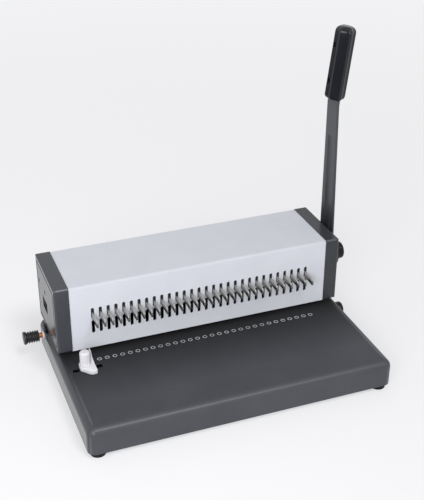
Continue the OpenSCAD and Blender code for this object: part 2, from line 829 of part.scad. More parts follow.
// Folded sheet: the slotted front and the top, between the end caps
module front_cover() {
    y0 = y_front + cover_inset;
    z1 = z_top - cover_inset;
    inner_r = cover_bend_r - cover_t;
    color(c_silver) difference() {
        along_x(-x_cap_in, x_cap_in) difference() {
            union() {
                translate([y0, z_house]) square([cover_t, z1 - z_house - cover_bend_r]);
                translate([y0 + cover_bend_r, z_cover_in]) square([y_back_out - y0 - cover_bend_r, cover_t]);
                intersection() {
                    translate([y0 + cover_bend_r, z1 - cover_bend_r]) circle(r = cover_bend_r);
                    translate([y0, z1 - cover_bend_r]) square(cover_bend_r);
                }
            }
            translate([y0 + cover_bend_r, z1 - cover_bend_r]) circle(r = inner_r);
        }
        along_y(y0 - eps, y_cover_in + eps) for (x = row_x) {
            translate([x, z_lower_slot]) slot_2d(slot_w, lower_slot_h);
            translate([x, z_upper_slot]) slot_2d(slot_w, upper_slot_h);
        }
    }
}

back_screw_r = 1.25;
back_screw_head_r = 2.6;
back_screw_head_h = 1.5;
back_screw_low = 16;
back_screw_drop = 20.7;
function back_screw_z() = [z_house + back_screw_low, z_top - back_screw_drop];

module back_screw_places() {
    for (s = sides, z = back_screw_z()) translate([s * (x_frame_in + x_frame_out) / 2, 0, z]) children();
}

module back_cover() {
    color(c_dark) difference() {
        box([-x_cap_in, y_back_in, z_house], [x_cap_in, y_back_out, z_cover_in]);
        back_screw_places() along_y(y_back_in - eps, y_back_out + eps) circle(r = back_screw_r + run_c);
    }
}

module back_screws() {
    color(c_steel) back_screw_places() union() {
        along_y(y_back_out, y_back_out + back_screw_head_h) circle(r = back_screw_head_r);
        along_y(y_back_in - screw_l + hole_spare, y_back_out + back_screw_head_h) circle(r = back_screw_r);
    }
}

// Front-to-back and height outline of the housing, set in by a margin, with a corner radius
module housing_outline(inset, r) {
    translate([(y_front + y_base) / 2, (z_house + z_top) / 2])
        round_rect(housing_d - 2 * inset, housing_h - 2 * inset, r);
}

// Hollow cap on the right end: open towards the frame and below
module end_cap() {
    groove_in = cap_groove_inset + cap_groove_w;
    lip_gap = cover_inset + cover_t + seat_c;
    color(c_dark) difference() {
        union() {
            difference() {
                intersection() {
                    along_x(x_cap_in, x_cap_out) housing_outline(0, cap_edge_r);
                    translate([x_cap_in, (y_front + y_base) / 2, z_house]) linear_extrude(housing_h)
                        round_rect(2 * cap_t, housing_d, cap_edge_r);
                    along_y(y_front, y_base) translate([x_cap_in, (z_house + z_top) / 2])
                        round_rect(2 * cap_t, housing_h, cap_edge_r);
                }
                box([x_cap_in - eps, y_front + cap_wall, z_house - eps],
                    [x_cap_out - cap_wall, y_base - cap_wall, z_top - cap_wall]);
                along_x(x_cap_out - cap_groove_depth, x_cap_out + eps) difference() {
                    housing_outline(cap_groove_inset, cap_edge_r);
                    housing_outline(groove_in, cap_edge_r);
                }
            }
            along_x(x_cap_in - cap_lip_l, x_cap_out - cap_wall) intersection() {
                difference() {
                    housing_outline(lip_gap, cap_edge_r);
                    housing_outline(lip_gap + cap_lip_t, cap_edge_r);
                }
                translate([y_front, z_top - housing_h / 2]) square([housing_d - 2 * cap_wall, housing_h / 2]);
            }
            for (y = cap_screw_y) rod_x(x_frame_out, x_cap_out - cap_wall / 2, cap_boss_r, y, cap_screw_z);
        }
        for (y = cap_screw_y) {
            rod_x(x_frame_out - eps, x_cap_out + eps, screw_r + run_c, y, cap_screw_z);
            rod_x(x_cap_out - cap_screw_sink, x_cap_out + eps, cap_screw_head_r + seat_c, y, cap_screw_z);
        }
    }
}

// Left cap: the mirrored cap with a deep rectangular window
module left_end_cap() {
    x_rim = -x_cap_out + cap_wall + window_rim;
    color(c_dark) difference() {
        union() {
            mirror([1, 0, 0]) end_cap();
            box([-x_cap_out + cap_wall / 2, window_y - cap_wall, window_z - cap_wall],
                [x_rim, window_y + window_w + cap_wall, window_z + window_h + cap_wall]);
        }
        box([-x_cap_out - eps, window_y, window_z], [x_rim + eps, window_y + window_w, window_z + window_h]);
    }
}

module right_end_cap() {
    color(c_dark) difference() {
        end_cap();
        rod_x(x_cap_in - eps, x_cap_out + eps, shaft_window_r, y_pivot, z_pivot);
    }
}

module cap_screws() {
    x_head = x_cap_out - cap_screw_sink;
    color(c_steel) both_sides() for (y = cap_screw_y) difference() {
        union() {
            rod_x(x_head, x_head + screw_head_h, cap_screw_head_r, y, cap_screw_z);
            rod_x(x_frame_in + hole_spare, x_head + screw_head_h, screw_r, y, cap_screw_z);
        }
        box([x_head + screw_head_h / 2, y - cap_screw_head_r - eps, cap_screw_z - driver_slot / 2],
            [x_head + screw_head_h + eps, y + cap_screw_head_r + eps, cap_screw_z + driver_slot / 2]);
    }
}

// Lever, shaft and gears

// Flat bar with its hub and the bent tang inside the grip
module lever_arm() {
    color(c_dark) difference() {
        union() {
            in_lever() rotate([0, 90, 0]) cylinder(h = hub_t, r = hub_r);
            in_lever() along_x(0, bar_t)
                polygon([[-bar_w_low / 2, 0], [bar_w_low / 2, 0], [bar_w_high / 2, bar_l],
                    [-bar_w_high / 2, bar_l]]);
            in_bend() translate([-bar_mid, 0, -bar_mid * sin(bar_bend)]) union() {
                translate([0, -bar_w_high / 2, 0])
                    cube([bar_t, bar_w_high, grip_start + bar_mid * sin(bar_bend)]);
                translate([0, -tang_w / 2, 0]) cube([bar_t, tang_w, tang_l]);
            }
        }
        in_lever() along_x(-eps, groove_depth)
            translate([0, groove_low]) slot_2d(groove_w, groove_high - groove_low);
        in_bend() for (h = grip_screw_h)
            translate([-bar_t, 0, h]) rotate([0, 90, 0]) cylinder(h = 2 * bar_t, r = screw_r + run_c);
        rod_x(x_lever - eps, x_hub + eps, shaft_r + run_c, y_pivot, z_pivot);
    }
}

// Washer between the right cap and the lever
module hub_spacer() {
    color(c_steel) difference() {
        rod_x(x_cap_out + move_c, x_lever, shaft_r + spacer_wall, y_pivot, z_pivot);
        rod_x(x_cap_out, x_lever + eps, shaft_r + run_c, y_pivot, z_pivot);
    }
}

module hub_cap() {
    rim = knob_rim;
    color(c_black) difference() {
        translate([x_hub, y_pivot, z_pivot]) rotate([0, 90, 0]) rotate_extrude()
            union() {
                square([hub_cap_r, hub_cap_l - rim]);
                square([hub_cap_r - rim, hub_cap_l]);
                translate([hub_cap_r - rim, hub_cap_l - rim]) intersection() {
                    circle(r = rim);
                    square(rim);
                }
            }
        rod_x(x_hub - eps, x_hub + hub_bore_l, shaft_r + run_c, y_pivot, z_pivot);
    }
}

// Six-sided section of the grip, with a narrow flat at its front and back seams
module grip_section() {
    x = grip_t / 2;
    y = grip_w / 2;
    flat = grip_flat / 2;
    seam = grip_seam_w / 2;
    polygon([[x, -flat], [x, flat], [seam, y], [-seam, y], [-x, flat], [-x, -flat], [-seam, -y], [seam, -y]]);
}

// Whole grip round the tang, with a domed top
module grip_body() {
    grip_end = grip_start + grip_l;
    difference() {
        intersection() {
            translate([0, 0, grip_start]) linear_extrude(grip_l) grip_section();
            along_y(-grip_w, grip_w) round_top(grip_t, grip_start, grip_end, grip_front_r);
            along_x(-grip_t, grip_t) round_top(grip_w, grip_start, grip_end, grip_side_r);
        }
        translate([-bar_mid, -tang_w / 2 - seat_c, 0]) cube([bar_t, tang_w + 2 * seat_c, tang_l + seat_c]);
    }
}

module grip_inner() {
    color(c_black) in_bend() difference() {
        grip_body();
        translate([0, -grip_w, 0]) cube([grip_w, 2 * grip_w, 2 * grip_l]);
        for (h = grip_screw_h) {
            translate([-grip_t, 0, h]) rotate([0, 90, 0]) cylinder(h = 2 * grip_t, r = screw_r + run_c);
            translate([-grip_t, 0, h]) rotate([0, 90, 0])
                cylinder(h = grip_t / 2 + grip_wall, r = grip_screw_head_r);
        }
    }
}

module grip_outer() {
    color(c_black) in_bend() difference() {
        grip_body();
        translate([-grip_w, -grip_w, 0]) cube([grip_w, 2 * grip_w, 2 * grip_l]);
        for (h = grip_screw_h)
            translate([-grip_t, 0, h]) rotate([0, 90, 0])
                cylinder(h = grip_t + grip_screw_out + hole_spare, r = screw_r + run_c);
    }
}

module grip_screws() {
    x_head = -grip_t / 2 + grip_wall;
    color(c_steel) in_bend() for (h = grip_screw_h) translate([x_head, 0, h]) rotate([0, 90, 0]) union() {
        translate([0, 0, -screw_head_h]) cylinder(h = screw_head_h, r = screw_head_r);
        cylinder(h = grip_t / 2 - grip_wall + grip_screw_out, r = screw_r);
    }
}

module drive_shaft() {
    color(c_steel)
        rod_x(-x_frame_out - shaft_tail, x_hub + hub_bore_l - hole_spare, shaft_r, y_pivot, z_pivot);
}

// Rings that keep the shaft from sliding along its axis
module shaft_collars() {
    x_collar = x_frame_in - bush_flange_t - move_c;
    color(c_steel) both_sides() difference() {
        rod_x(x_collar - collar_l, x_collar, collar_r, y_pivot, z_pivot);
        rod_x(x_collar - collar_l - eps, x_collar + eps, shaft_r + run_c, y_pivot, z_pivot);
    }
}

module ram_pinions() {
    color(c_steel) both_sides()
        along_x(ram_rack_x - ram_pinion_w / 2, ram_rack_x + ram_pinion_w / 2)
        translate([y_pivot, z_pivot]) gear_2d(ram_m, ram_teeth, 180, shaft_r + run_c);
}

module lift_pinions() {
    color(c_steel) both_sides()
        along_x(lift_x - lift_pinion_w / 2, lift_x + lift_pinion_w / 2)
        translate([y_pivot, z_pivot]) gear_2d(lift_m, lift_teeth, 0, shaft_r + run_c);
}

// Ram with its punches

retainer_screw_x = [for (i = [-2 : 2]) i * floor(hole_n / 5) * hole_pitch];
y_retainer_screw = y_ram + screw_head_r;

module ram_bar() {
    color(c_steel) difference() {
        box([-x_ram, y_ram, z_ram], [x_ram, y_ram_back, z_ram_top]);
        for (x = row_x) {
            rod_z(z_ram - eps, z_ram_top + eps, pin_r + run_c, x, y_punch);
            rod_z(z_ram_top - pin_head_h, z_ram_top + eps, pin_head_r + run_c, x, y_punch);
        }
        for (s = sides) rod_z(z_ram - eps, z_ram_top + eps, post_r + run_c, s * x_post, y_punch);
        for (x = retainer_screw_x)
            rod_z(z_ram_top - screw_l, z_ram_top + eps, screw_r + run_c, x, y_retainer_screw);
    }
}

module punch_pins() {
    color(c_steel) for (x = row_x) union() {
        rod_z(z_house + pin_retract, z_ram_top, pin_r, x, y_punch);
        rod_z(z_ram_top - pin_head_h, z_ram_top, pin_head_r, x, y_punch);
    }
}

// Strip that keeps the pins' heads in the ram
module pin_retainer() {
    color(c_steel) difference() {
        box([-x_retainer, y_ram, z_ram_top], [x_retainer, y_ram_back, z_ram_top + retainer_t]);
        for (x = retainer_screw_x)
            rod_z(z_ram_top - eps, z_ram_top + retainer_t + eps, screw_r + run_c, x, y_retainer_screw);
    }
}

module retainer_screws() {
    z_head = z_ram_top + retainer_t;
    color(c_steel) for (x = retainer_screw_x) union() {
        rod_z(z_head, z_head + screw_head_h, screw_head_r, x, y_retainer_screw);
        rod_z(z_ram_top - screw_l + hole_spare, z_head + screw_head_h, screw_r, x, y_retainer_screw);
    }
}

// Racks on the ram's back, in mesh with the front of the ram pinions
module ram_racks() {
    y_pitch = y_pivot - ram_pitch_r;
    low = -ram_pitch_r;
    high = z_ram_top - z_pivot;
    teeth = rack_points(ram_m, low, high);
    y_root = -tooth_ded * ram_m;
    y_body = y_ram_back - y_pitch;
    color(c_steel) both_sides() along_x(ram_rack_x - ram_rack_w / 2, ram_rack_x + ram_rack_w / 2)
        translate([y_pitch, z_pivot]) polygon(concat([[y_body, low], [y_root, low]],
            [for (p = teeth) [p[1], p[0]]], [[y_root, high], [y_body, high]]));
}

// Comb of fingers

// Dark bar behind the cover with two legs down to the lift's arms
module finger_bar() {
    color(c_black) union() {
        box([-x_finger_bar, y_finger_bar, z_finger], [x_finger_bar, y_finger_back, z_finger + finger_bar_h]);
        for (s = sides)
            box([s * lift_x - lift_leg_w / 2, y_finger_bar, z_lift_arm],
                [s * lift_x + lift_leg_w / 2, y_finger_back, z_finger + eps]);
    }
}

// Thin hooked fingers, side view: root at the bar, tip turned down in front of the cover
module comb_fingers() {
    y_tip = y_front + cover_inset - finger_reach;
    z_crown = z_finger + finger_h;
    color(c_steel) for (x = row_x) along_x(x - finger_t / 2, x + finger_t / 2)
        polygon([[y_finger_bar, z_finger], [y_finger_bar, z_crown], [y_tip + finger_tip_w, z_crown],
            [y_tip + finger_tip_w / 4, z_crown - finger_tip_w / 2], [y_tip, z_crown - finger_tip_w],
            [y_tip - finger_tip_w / 4, z_finger - finger_drop],
            [y_tip + finger_tip_w, z_finger + finger_rise / 2],
            [y_tip + 2 * finger_tip_w, z_finger + finger_rise]]);
}

// Arms that pass between the pins and end in racks behind the lift pinions
module lift_racks() {
    y_pitch = y_pivot + lift_pitch_r;
    low = z_lift_arm - z_pivot;
    teeth_low = -lift_stroke - 3 * lift_m * PI;
    high = 3 * lift_m * PI;
    teeth = rack_points(lift_m, teeth_low, high);
    y_root = tooth_ded * lift_m;
    color(c_steel) both_sides() union() {
        along_x(lift_x - lift_pinion_w / 2, lift_x + lift_pinion_w / 2)
            translate([y_pitch, z_pivot]) polygon(concat([[y_root + lift_rack_back, low], [y_root, low]],
                [for (p = teeth) [-p[1], p[0]]], [[y_root, high], [y_root + lift_rack_back, high]]));
        box([lift_x - lift_arm_t / 2, y_finger_back, z_lift_arm],
            [lift_x + lift_arm_t / 2, y_pitch + y_root + eps, z_lift_arm + lift_arm_h]);
    }
}

// Edge guide

// White block with a chamfered nose, a fin behind the stop face and a tongue in the table's slot
module edge_guide() {
    x1 = -guide_stop_x;
    x0 = x1 - guide_block_l;
    y0 = y_guide_slot - guide_block_front;
    y1 = y_guide_slot + guide_block_back;
    fin_x = guide_knob_x + guide_post_r + move_c;
    z_fin = z_guide_top_face + guide_post_h - guide_fin_drop;
    tongue_w = guide_slot_w - 2 * move_c;
    color(c_white) difference() {
        union() {
            translate([0, 0, z_guide_block]) linear_extrude(guide_block_h)
                polygon([[x0, y1], [x0, y0 + guide_chamfer], [x1 - guide_nose_w, y0], [x1, y0], [x1, y1]]);
            along_y(y_guide_slot - guide_fin_t / 2, y_guide_slot + guide_fin_t)
                polygon([[fin_x, z_guide_block], [x1, z_guide_block], [x1, z_guide_top_face],
                    [fin_x + guide_fin_tip, z_fin], [fin_x, z_fin]]);
            box([guide_knob_x - guide_tongue_l / 2, y_guide_slot - tongue_w / 2, z_under + seat_c],
                [guide_knob_x + guide_tongue_l / 2, y_guide_slot + tongue_w / 2, z_guide_block + eps]);
        }
        rod_z(z_under - eps, z_guide_top_face + eps, guide_stem_r + run_c, guide_knob_x, y_guide_slot);
    }
}

// Square nut under the table
module guide_nut() {
    z1 = z_under - move_c;
    color(c_steel) difference() {
        box([guide_knob_x - guide_nut_l / 2, y_guide_slot - guide_nut_l / 2, z1 - guide_nut_t],
            [guide_knob_x + guide_nut_l / 2, y_guide_slot + guide_nut_l / 2, z1]);
        rod_z(z1 - guide_nut_t - eps, z1 + eps, guide_stem_r + run_c, guide_knob_x, y_guide_slot);
    }
}

// White clamping post: fluted grip above, thin stem through block and nut, foot below the nut
module guide_knob() {
    z0 = z_guide_top_face + seat_c;
    z1 = z0 + guide_post_h;
    z_nut = z_under - move_c - guide_nut_t;
    color(c_white) translate([guide_knob_x, y_guide_slot, 0]) union() {
        difference() {
            rod_z(z0, z1, guide_post_r, 0, 0);
            for (i = [0 : flute_n - 1]) rotate(i * 360 / flute_n)
                rod_z(z0 + flute_low, z1 + eps, flute_r, guide_post_r + flute_out, 0);
        }
        rod_z(z_nut - guide_foot_t, z0 + eps, guide_stem_r, 0, 0);
        rod_z(z_nut - guide_foot_t - seat_c, z_nut - seat_c, guide_foot_r, 0, 0);
    }
}

// Depth stop and its drive

// White flanged bush in the bearing ear
module depth_bush() {
    x_flange = -x_base - depth_bush_flange_t;
    x_end = -x_base_in + depth_bush_tail;
    color(c_white) difference() {
        union() {
            rod_x(-x_base, x_end, depth_bush_r, y_depth, z_depth);
            rod_x(x_flange, -x_base, depth_bush_flange_r, y_depth, z_depth);
        }
        rod_x(x_flange - eps, x_end + eps, depth_shaft_r + run_c, y_depth, z_depth);
    }
}

// Hangers under the table that carry the depth shaft
module depth_brackets() {
    color(c_steel) both_sides() difference() {
        box([x_depth_bracket, y_depth - depth_bracket_w / 2, z_depth - depth_bracket_drop],
            [x_depth_bracket + depth_bracket_t, y_depth + depth_bracket_w / 2, z_under]);
        rod_x(x_depth_bracket - eps, x_depth_bracket + depth_bracket_t + eps, depth_shaft_r + run_c,
            y_depth, z_depth);
    }
}

// Long shaft with a shoulder between the knob and the bush
module depth_shaft() {
    color(c_copper) union() {
        rod_x(x_depth_end + depth_knob_bottom + hole_spare,
            x_depth_bracket + depth_bracket_t + depth_shaft_tail, depth_shaft_r, y_depth, z_depth);
        rod_x(x_depth_knob, x_depth_knob + depth_bare - move_c, depth_shaft_r + depth_shoulder, y_depth,
            z_depth);
    }
}

// Black knob with ring ribs and a wider end
module depth_knob() {
    end_l = depth_knob_l * depth_end_share;
    rib_l = (depth_knob_l - end_l) / depth_rib_n;
    color(c_black) difference() {
        union() {
            rod_x(x_depth_end, x_depth_end + end_l, depth_knob_end_r, y_depth, z_depth);
            rod_x(x_depth_end, x_depth_knob, depth_knob_r - depth_rib_depth, y_depth, z_depth);
            for (i = [0 : depth_rib_n - 1])
                rod_x(x_depth_knob - (i + depth_rib_share) * rib_l, x_depth_knob - i * rib_l, depth_knob_r,
                    y_depth, z_depth);
        }
        rod_x(x_depth_end + depth_knob_bottom, x_depth_knob + eps, depth_shaft_r + run_c, y_depth, z_depth);
    }
}

module depth_pinions() {
    color(c_steel) both_sides()
        along_x(depth_arm_x - depth_arm_w / 2, depth_arm_x + depth_arm_w / 2)
        translate([y_depth, z_depth]) gear_2d(depth_m, depth_teeth, 90, depth_shaft_r + run_c);
}

// Stop bar in the throat with two legs through the table
module depth_stop() {
    color(c_steel) union() {
        box([-stop_half, y_stop, z_stop_bottom], [stop_half, y_stop_back, z_stop_top]);
        for (s = sides)
            box([s * depth_arm_x - depth_arm_w / 2, y_stop_back - stop_leg_d, z_depth_arm],
                [s * depth_arm_x + depth_arm_w / 2, y_stop_back, z_stop_bottom + eps]);
    }
}

// Toothed arms under the stop's legs, in mesh with the top of the depth pinions
module depth_racks() {
    reach = depth_travel + 2.5 * depth_m * PI;
    teeth = rack_points(depth_m, -reach, reach);
    z_pitch = z_depth + depth_pitch_r;
    z_root = tooth_ded * depth_m;
    z_high = z_depth_arm - z_pitch;
    y_low = y_stop_back - stop_leg_d - depth_arm_spare - y_depth;
    y_high = reach + depth_arm_spare;
    color(c_steel) both_sides() along_x(depth_arm_x - depth_arm_w / 2, depth_arm_x + depth_arm_w / 2)
        translate([y_depth, z_pitch]) polygon(concat([[y_low, z_high], [y_low, z_root]],
            [for (p = teeth) [p[0], -p[1]]], [[y_high, z_root], [y_high, z_high]]));
}

// Chip tray

module chip_tray() {
    y0 = y_tray - tray_w / 2;
    y1 = y_tray + tray_w / 2;
    z_mid = (z_tray + z_tray_top) / 2;
    color(c_dark) difference() {
        box([x_tray_left, y0, z_tray], [x_base, y1, z_tray_top]);
        box([x_tray_left + tray_wall, y0 + tray_wall, z_tray + tray_wall],
            [x_base - tray_face_t, y1 - tray_wall, z_tray_top + eps]);
        rod_x(x_base - tray_face_t - eps, x_base + eps, tray_stud_r + run_c, y_tray, z_mid);
    }
}

// Round pull knob with its stud through the tray's face
module tray_knob() {
    z_mid = (z_tray + z_tray_top) / 2;
    neck_l = tray_knob_l / 3;
    rim = knob_rim;
    color(c_black) translate([x_base, y_tray, z_mid]) rotate([0, 90, 0]) union() {
        translate([0, 0, -tray_face_t]) cylinder(h = tray_face_t + eps, r = tray_stud_r);
        cylinder(h = neck_l + eps, r = tray_knob_neck_r);
        translate([0, 0, neck_l]) rotate_extrude() union() {
            square([tray_knob_r, tray_knob_l - neck_l - rim]);
            square([tray_knob_r - rim, tray_knob_l - neck_l]);
            translate([tray_knob_r - rim, tray_knob_l - neck_l - rim]) intersection() {
                circle(r = rim);
                square(rim);
            }
        }
    }
}

// Rails on the bottom plate on both sides of the tray
module tray_runners() {
    color(c_steel) for (s = sides)
        translate([0, y_tray + s * (tray_w / 2 + move_c + runner_w / 2), 0])
        box([x_tray_left, -runner_w / 2, z_bottom],
            [x_base_in - runner_gap, runner_w / 2, z_bottom + runner_h]);
}

base_shell();
bottom_plate();
rubber_feet();
foot_screws();
side_frames();
frame_screws();
die_plate();
guide_plate();
throat_spacers();
cassette_screws();
guide_screws();
guide_posts();
return_springs();
shaft_bushes();
comb_guides();
front_cover();
back_cover();
back_screws();
left_end_cap();
right_end_cap();
cap_screws();
depth_bush();
depth_brackets();
tray_runners();
lever_arm();
hub_spacer();
hub_cap();
grip_inner();
grip_outer();
grip_screws();
drive_shaft();
shaft_collars();
ram_pinions();
lift_pinions();
ram_bar();
punch_pins();
pin_retainer();
retainer_screws();
ram_racks();
finger_bar();
comb_fingers();
lift_racks();
edge_guide();
guide_nut();
guide_knob();
depth_shaft();
depth_knob();
depth_pinions();
depth_stop();
depth_racks();
chip_tray();
tray_knob();
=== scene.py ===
import math

import bmesh
import bpy
import numpy as np
from mathutils import Matrix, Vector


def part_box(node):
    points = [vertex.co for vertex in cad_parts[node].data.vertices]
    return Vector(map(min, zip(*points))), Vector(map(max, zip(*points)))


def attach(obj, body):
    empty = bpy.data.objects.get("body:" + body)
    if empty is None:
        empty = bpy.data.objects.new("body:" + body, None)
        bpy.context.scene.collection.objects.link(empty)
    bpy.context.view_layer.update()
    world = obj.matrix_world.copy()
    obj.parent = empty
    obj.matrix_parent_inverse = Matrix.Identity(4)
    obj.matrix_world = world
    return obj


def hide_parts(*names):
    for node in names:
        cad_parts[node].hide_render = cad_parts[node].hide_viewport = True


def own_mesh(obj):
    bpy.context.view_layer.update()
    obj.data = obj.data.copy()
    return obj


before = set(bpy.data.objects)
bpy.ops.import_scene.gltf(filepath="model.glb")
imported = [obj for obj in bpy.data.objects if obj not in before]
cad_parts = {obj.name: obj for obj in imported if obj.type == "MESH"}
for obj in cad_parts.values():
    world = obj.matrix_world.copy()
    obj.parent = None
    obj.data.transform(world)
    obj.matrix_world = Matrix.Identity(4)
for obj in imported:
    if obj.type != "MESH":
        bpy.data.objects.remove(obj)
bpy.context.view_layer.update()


# Base: one casting with the table, the four walls and the bearing ear of the depth knob on its left wall.
# Aluminium under a satin dark grey powder coat with a fine grain, rubbed a little lighter along its edges.
# Painted shade darkens the guide slot, the table top a little and the table towards the throat more; painted
# highlights run along the roundings at the table's sides and down the upright front corners.

def add(tree, kind, links=(), **settings):
    """Adds a node: settings name its sockets (spaces as _) or, in lower case, its own properties."""
    made = tree.nodes.new("ShaderNode" + kind)
    for key, value in settings.items():
        socket = made.inputs.get(key.replace("_", " "))
        if socket is not None:
            socket.default_value = value
        else:
            setattr(made, key, value)
    for socket, source in links:
        tree.links.new(source, made.inputs[socket])
    return made


def shared_effect(name, inputs, outputs):
    """Empty node group with float or vector sockets; returns its tree, input node and output node."""
    tree = bpy.data.node_groups.new(name, "ShaderNodeTree")
    for label, kind in inputs:
        tree.interface.new_socket(label, in_out="INPUT", socket_type="NodeSocket" + kind)
    for label in outputs:
        tree.interface.new_socket(label, in_out="OUTPUT", socket_type="NodeSocketFloat")
    return tree, tree.nodes.new("NodeGroupInput"), tree.nodes.new("NodeGroupOutput")


def make_coat_grain():
    """Height: fine grain of a coat or mould. Tone: broad shade, 0 to 1. Speck: sparse dust and pinholes."""
    tree, given, put = shared_effect("coat_grain", [("Vector", "Vector"), ("Grain", "Float")],
                                     ["Height", "Tone", "Speck"])
    fine = add(tree, "TexNoise", [("Vector", given.outputs["Vector"]), ("Scale", given.outputs["Grain"])],
               Detail=2.0, Roughness=0.6)
    broad = add(tree, "TexNoise", [("Vector", given.outputs["Vector"])], Scale=19.0, Detail=4.0, Roughness=0.62)
    tone = add(tree, "MapRange", [("Value", broad.outputs["Fac"])], From_Min=0.32, From_Max=0.68)
    dots = add(tree, "TexNoise", [("Vector", given.outputs["Vector"])], Scale=620.0, Detail=1.0)
    speck = add(tree, "MapRange", [("Value", dots.outputs["Fac"])], From_Min=0.69, From_Max=0.76)
    tree.links.new(fine.outputs["Fac"], put.inputs["Height"])
    tree.links.new(tone.outputs["Result"], put.inputs["Tone"])
    tree.links.new(speck.outputs["Result"], put.inputs["Speck"])
    return tree


def make_edge_rub():
    """Mask: where the bevelled normal leaves the face's own normal, broken up by patches of noise."""
    tree, given, put = shared_effect("edge_rub", [("Vector", "Vector"), ("Radius", "Float")], ["Mask"])
    soft = add(tree, "Bevel", [("Radius", given.outputs["Radius"])], samples=4)
    face = add(tree, "NewGeometry")
    same = add(tree, "VectorMath", operation="DOT_PRODUCT")
    tree.links.new(soft.outputs["Normal"], same.inputs[0])
    tree.links.new(face.outputs["True Normal"], same.inputs[1])
    edge = add(tree, "MapRange", [("Value", same.outputs["Value"])], From_Min=0.985, From_Max=0.80)
    patch = add(tree, "TexNoise", [("Vector", given.outputs["Vector"])], Scale=140.0, Detail=3.0)
    worn = add(tree, "MapRange", [("Value", patch.outputs["Fac"])], From_Min=0.40, From_Max=0.66)
    both = add(tree, "Math", operation="MULTIPLY")
    tree.links.new(edge.outputs["Result"], both.inputs[0])
    tree.links.new(worn.outputs["Result"], both.inputs[1])
    tree.links.new(both.outputs["Value"], put.inputs["Mask"])
    return tree


def make_in_box():
    """Mask: 1 inside the box from Low to High, with a ramp Soft wide along each axis just inside its faces."""
    tree, given, put = shared_effect("in_box", [(word, "Vector") for word in ("Vector", "Low", "High", "Soft")],
                                     ["Mask"])

    def step(operation, first, second):
        made = add(tree, "VectorMath", operation=operation)
        for socket, value in ((made.inputs[0], first), (made.inputs[1], second)):
            if isinstance(value, tuple):
                socket.default_value = value
            else:
                tree.links.new(value, socket)
        return made.outputs["Vector"]

    here, low, high, soft = (given.outputs[word] for word in ("Vector", "Low", "High", "Soft"))
    nearest = step("MINIMUM", step("SUBTRACT", here, low), step("SUBTRACT", high, here))
    ramp = step("MINIMUM", step("MAXIMUM", step("DIVIDE", nearest, soft), (0.0, 0.0, 0.0)), (1.0, 1.0, 1.0))
    axes = add(tree, "SeparateXYZ", [("Vector", ramp)])
    flat = add(tree, "Math", operation="MULTIPLY")
    tree.links.new(axes.outputs["X"], flat.inputs[0])
    tree.links.new(axes.outputs["Y"], flat.inputs[1])
    whole = add(tree, "Math", operation="MULTIPLY")
    tree.links.new(flat.outputs["Value"], whole.inputs[0])
    tree.links.new(axes.outputs["Z"], whole.inputs[1])
    tree.links.new(whole.outputs["Value"], put.inputs["Mask"])
    return tree


coat_grain = make_coat_grain()
edge_rub = make_edge_rub()
in_box = make_in_box()


def blank_finish(name):
    """New material; returns it with its tree, its Principled shader and the object's own coordinates."""
    material = bpy.data.materials.new(name)
    material.use_nodes = True
    tree = material.node_tree
    place = add(tree, "TexCoord").outputs["Object"]
    return material, tree, tree.nodes["Principled BSDF"], place


def blend(tree, share, first, second, way="MIX"):
    """Mix of two colours, each a socket or three numbers, by a share from 0 to 1."""
    made = add(tree, "Mix", data_type="RGBA", blend_type=way)
    tree.links.new(share, made.inputs["Factor"])
    for socket, value in ((made.inputs[6], first), (made.inputs[7], second)):
        if isinstance(value, bpy.types.NodeSocket):
            tree.links.new(value, socket)
        else:
            socket.default_value = (*value, 1.0)
    return made.outputs[2]


def part_of(tree, value, share):
    """A mask weakened to a fixed share of itself."""
    made = add(tree, "Math", operation="MULTIPLY")
    tree.links.new(value, made.inputs[0])
    made.inputs[1].default_value = share
    return made.outputs["Value"]


def zoned(tree, place, colour, dull, zones):
    """Colour and roughness after each zone (low, high, soft, shade, rough): a box in millimetres, such as the
    painted shade inside a slot or the rougher, darker table top, where the colour is multiplied by a shade and
    the roughness is its own."""
    for low, high, soft, shade, zone_rough in zones:
        box = add(tree, "Group", [("Vector", place)], node_tree=in_box, Low=np.array(low) * 0.001,
                  High=np.array(high) * 0.001, Soft=np.array(soft) * 0.001)
        colour = blend(tree, box.outputs["Mask"], colour, (shade, shade, shade), "MULTIPLY")
        ease = add(tree, "Mix", [("Factor", box.outputs["Mask"]), ("A", dull)], B=zone_rough)
        dull = ease.outputs["Result"]
    return colour, dull


def skinned(name, dark, light, rough, grain, bump, rub, rub_tint, edge=0.4, speck=0.12, gloss=0.5, zones=()):
    """Painted or moulded skin: two shades by Tone, specks, rubbed edges, zones and fine grain in the normal."""
    material, tree, shader, place = blank_finish(name)
    skin = add(tree, "Group", [("Vector", place)], node_tree=coat_grain, Grain=grain)
    worn = add(tree, "Group", [("Vector", place)], node_tree=edge_rub, Radius=edge * 0.001)
    colour = blend(tree, skin.outputs["Tone"], dark, light)
    colour = blend(tree, part_of(tree, skin.outputs["Speck"], speck), colour, rub_tint)
    colour = blend(tree, part_of(tree, worn.outputs["Mask"], rub), colour, rub_tint)
    sheen = add(tree, "MapRange", [("Value", skin.outputs["Tone"])], To_Min=rough - 0.035,
                To_Max=rough + 0.035)
    colour, dull = zoned(tree, place, colour, sheen.outputs["Result"], zones)
    tree.links.new(colour, shader.inputs["Base Color"])
    tree.links.new(dull, shader.inputs["Roughness"])
    soft = add(tree, "Bevel", samples=4, Radius=edge * 0.001)
    dimple = add(tree, "Bump", [("Height", skin.outputs["Height"]), ("Normal", soft.outputs["Normal"])],
                 Strength=bump, Distance=0.0002)
    tree.links.new(dimple.outputs["Normal"], shader.inputs["Normal"])
    shader.inputs["Specular IOR Level"].default_value = gloss
    return material


def dress(material, *names):
    """Puts a finish on CAD nodes as they are."""
    for name in names:
        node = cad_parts[name]
        if not node.material_slots:
            node.data.materials.append(None)
        for place in node.material_slots:
            place.material = material


def span(name):
    """Lower and upper corner of a CAD node's box and the point midway between them, in millimetres."""
    low, high = (np.array(corner) * 1000 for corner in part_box(name))
    return low, high, (low + high) / 2


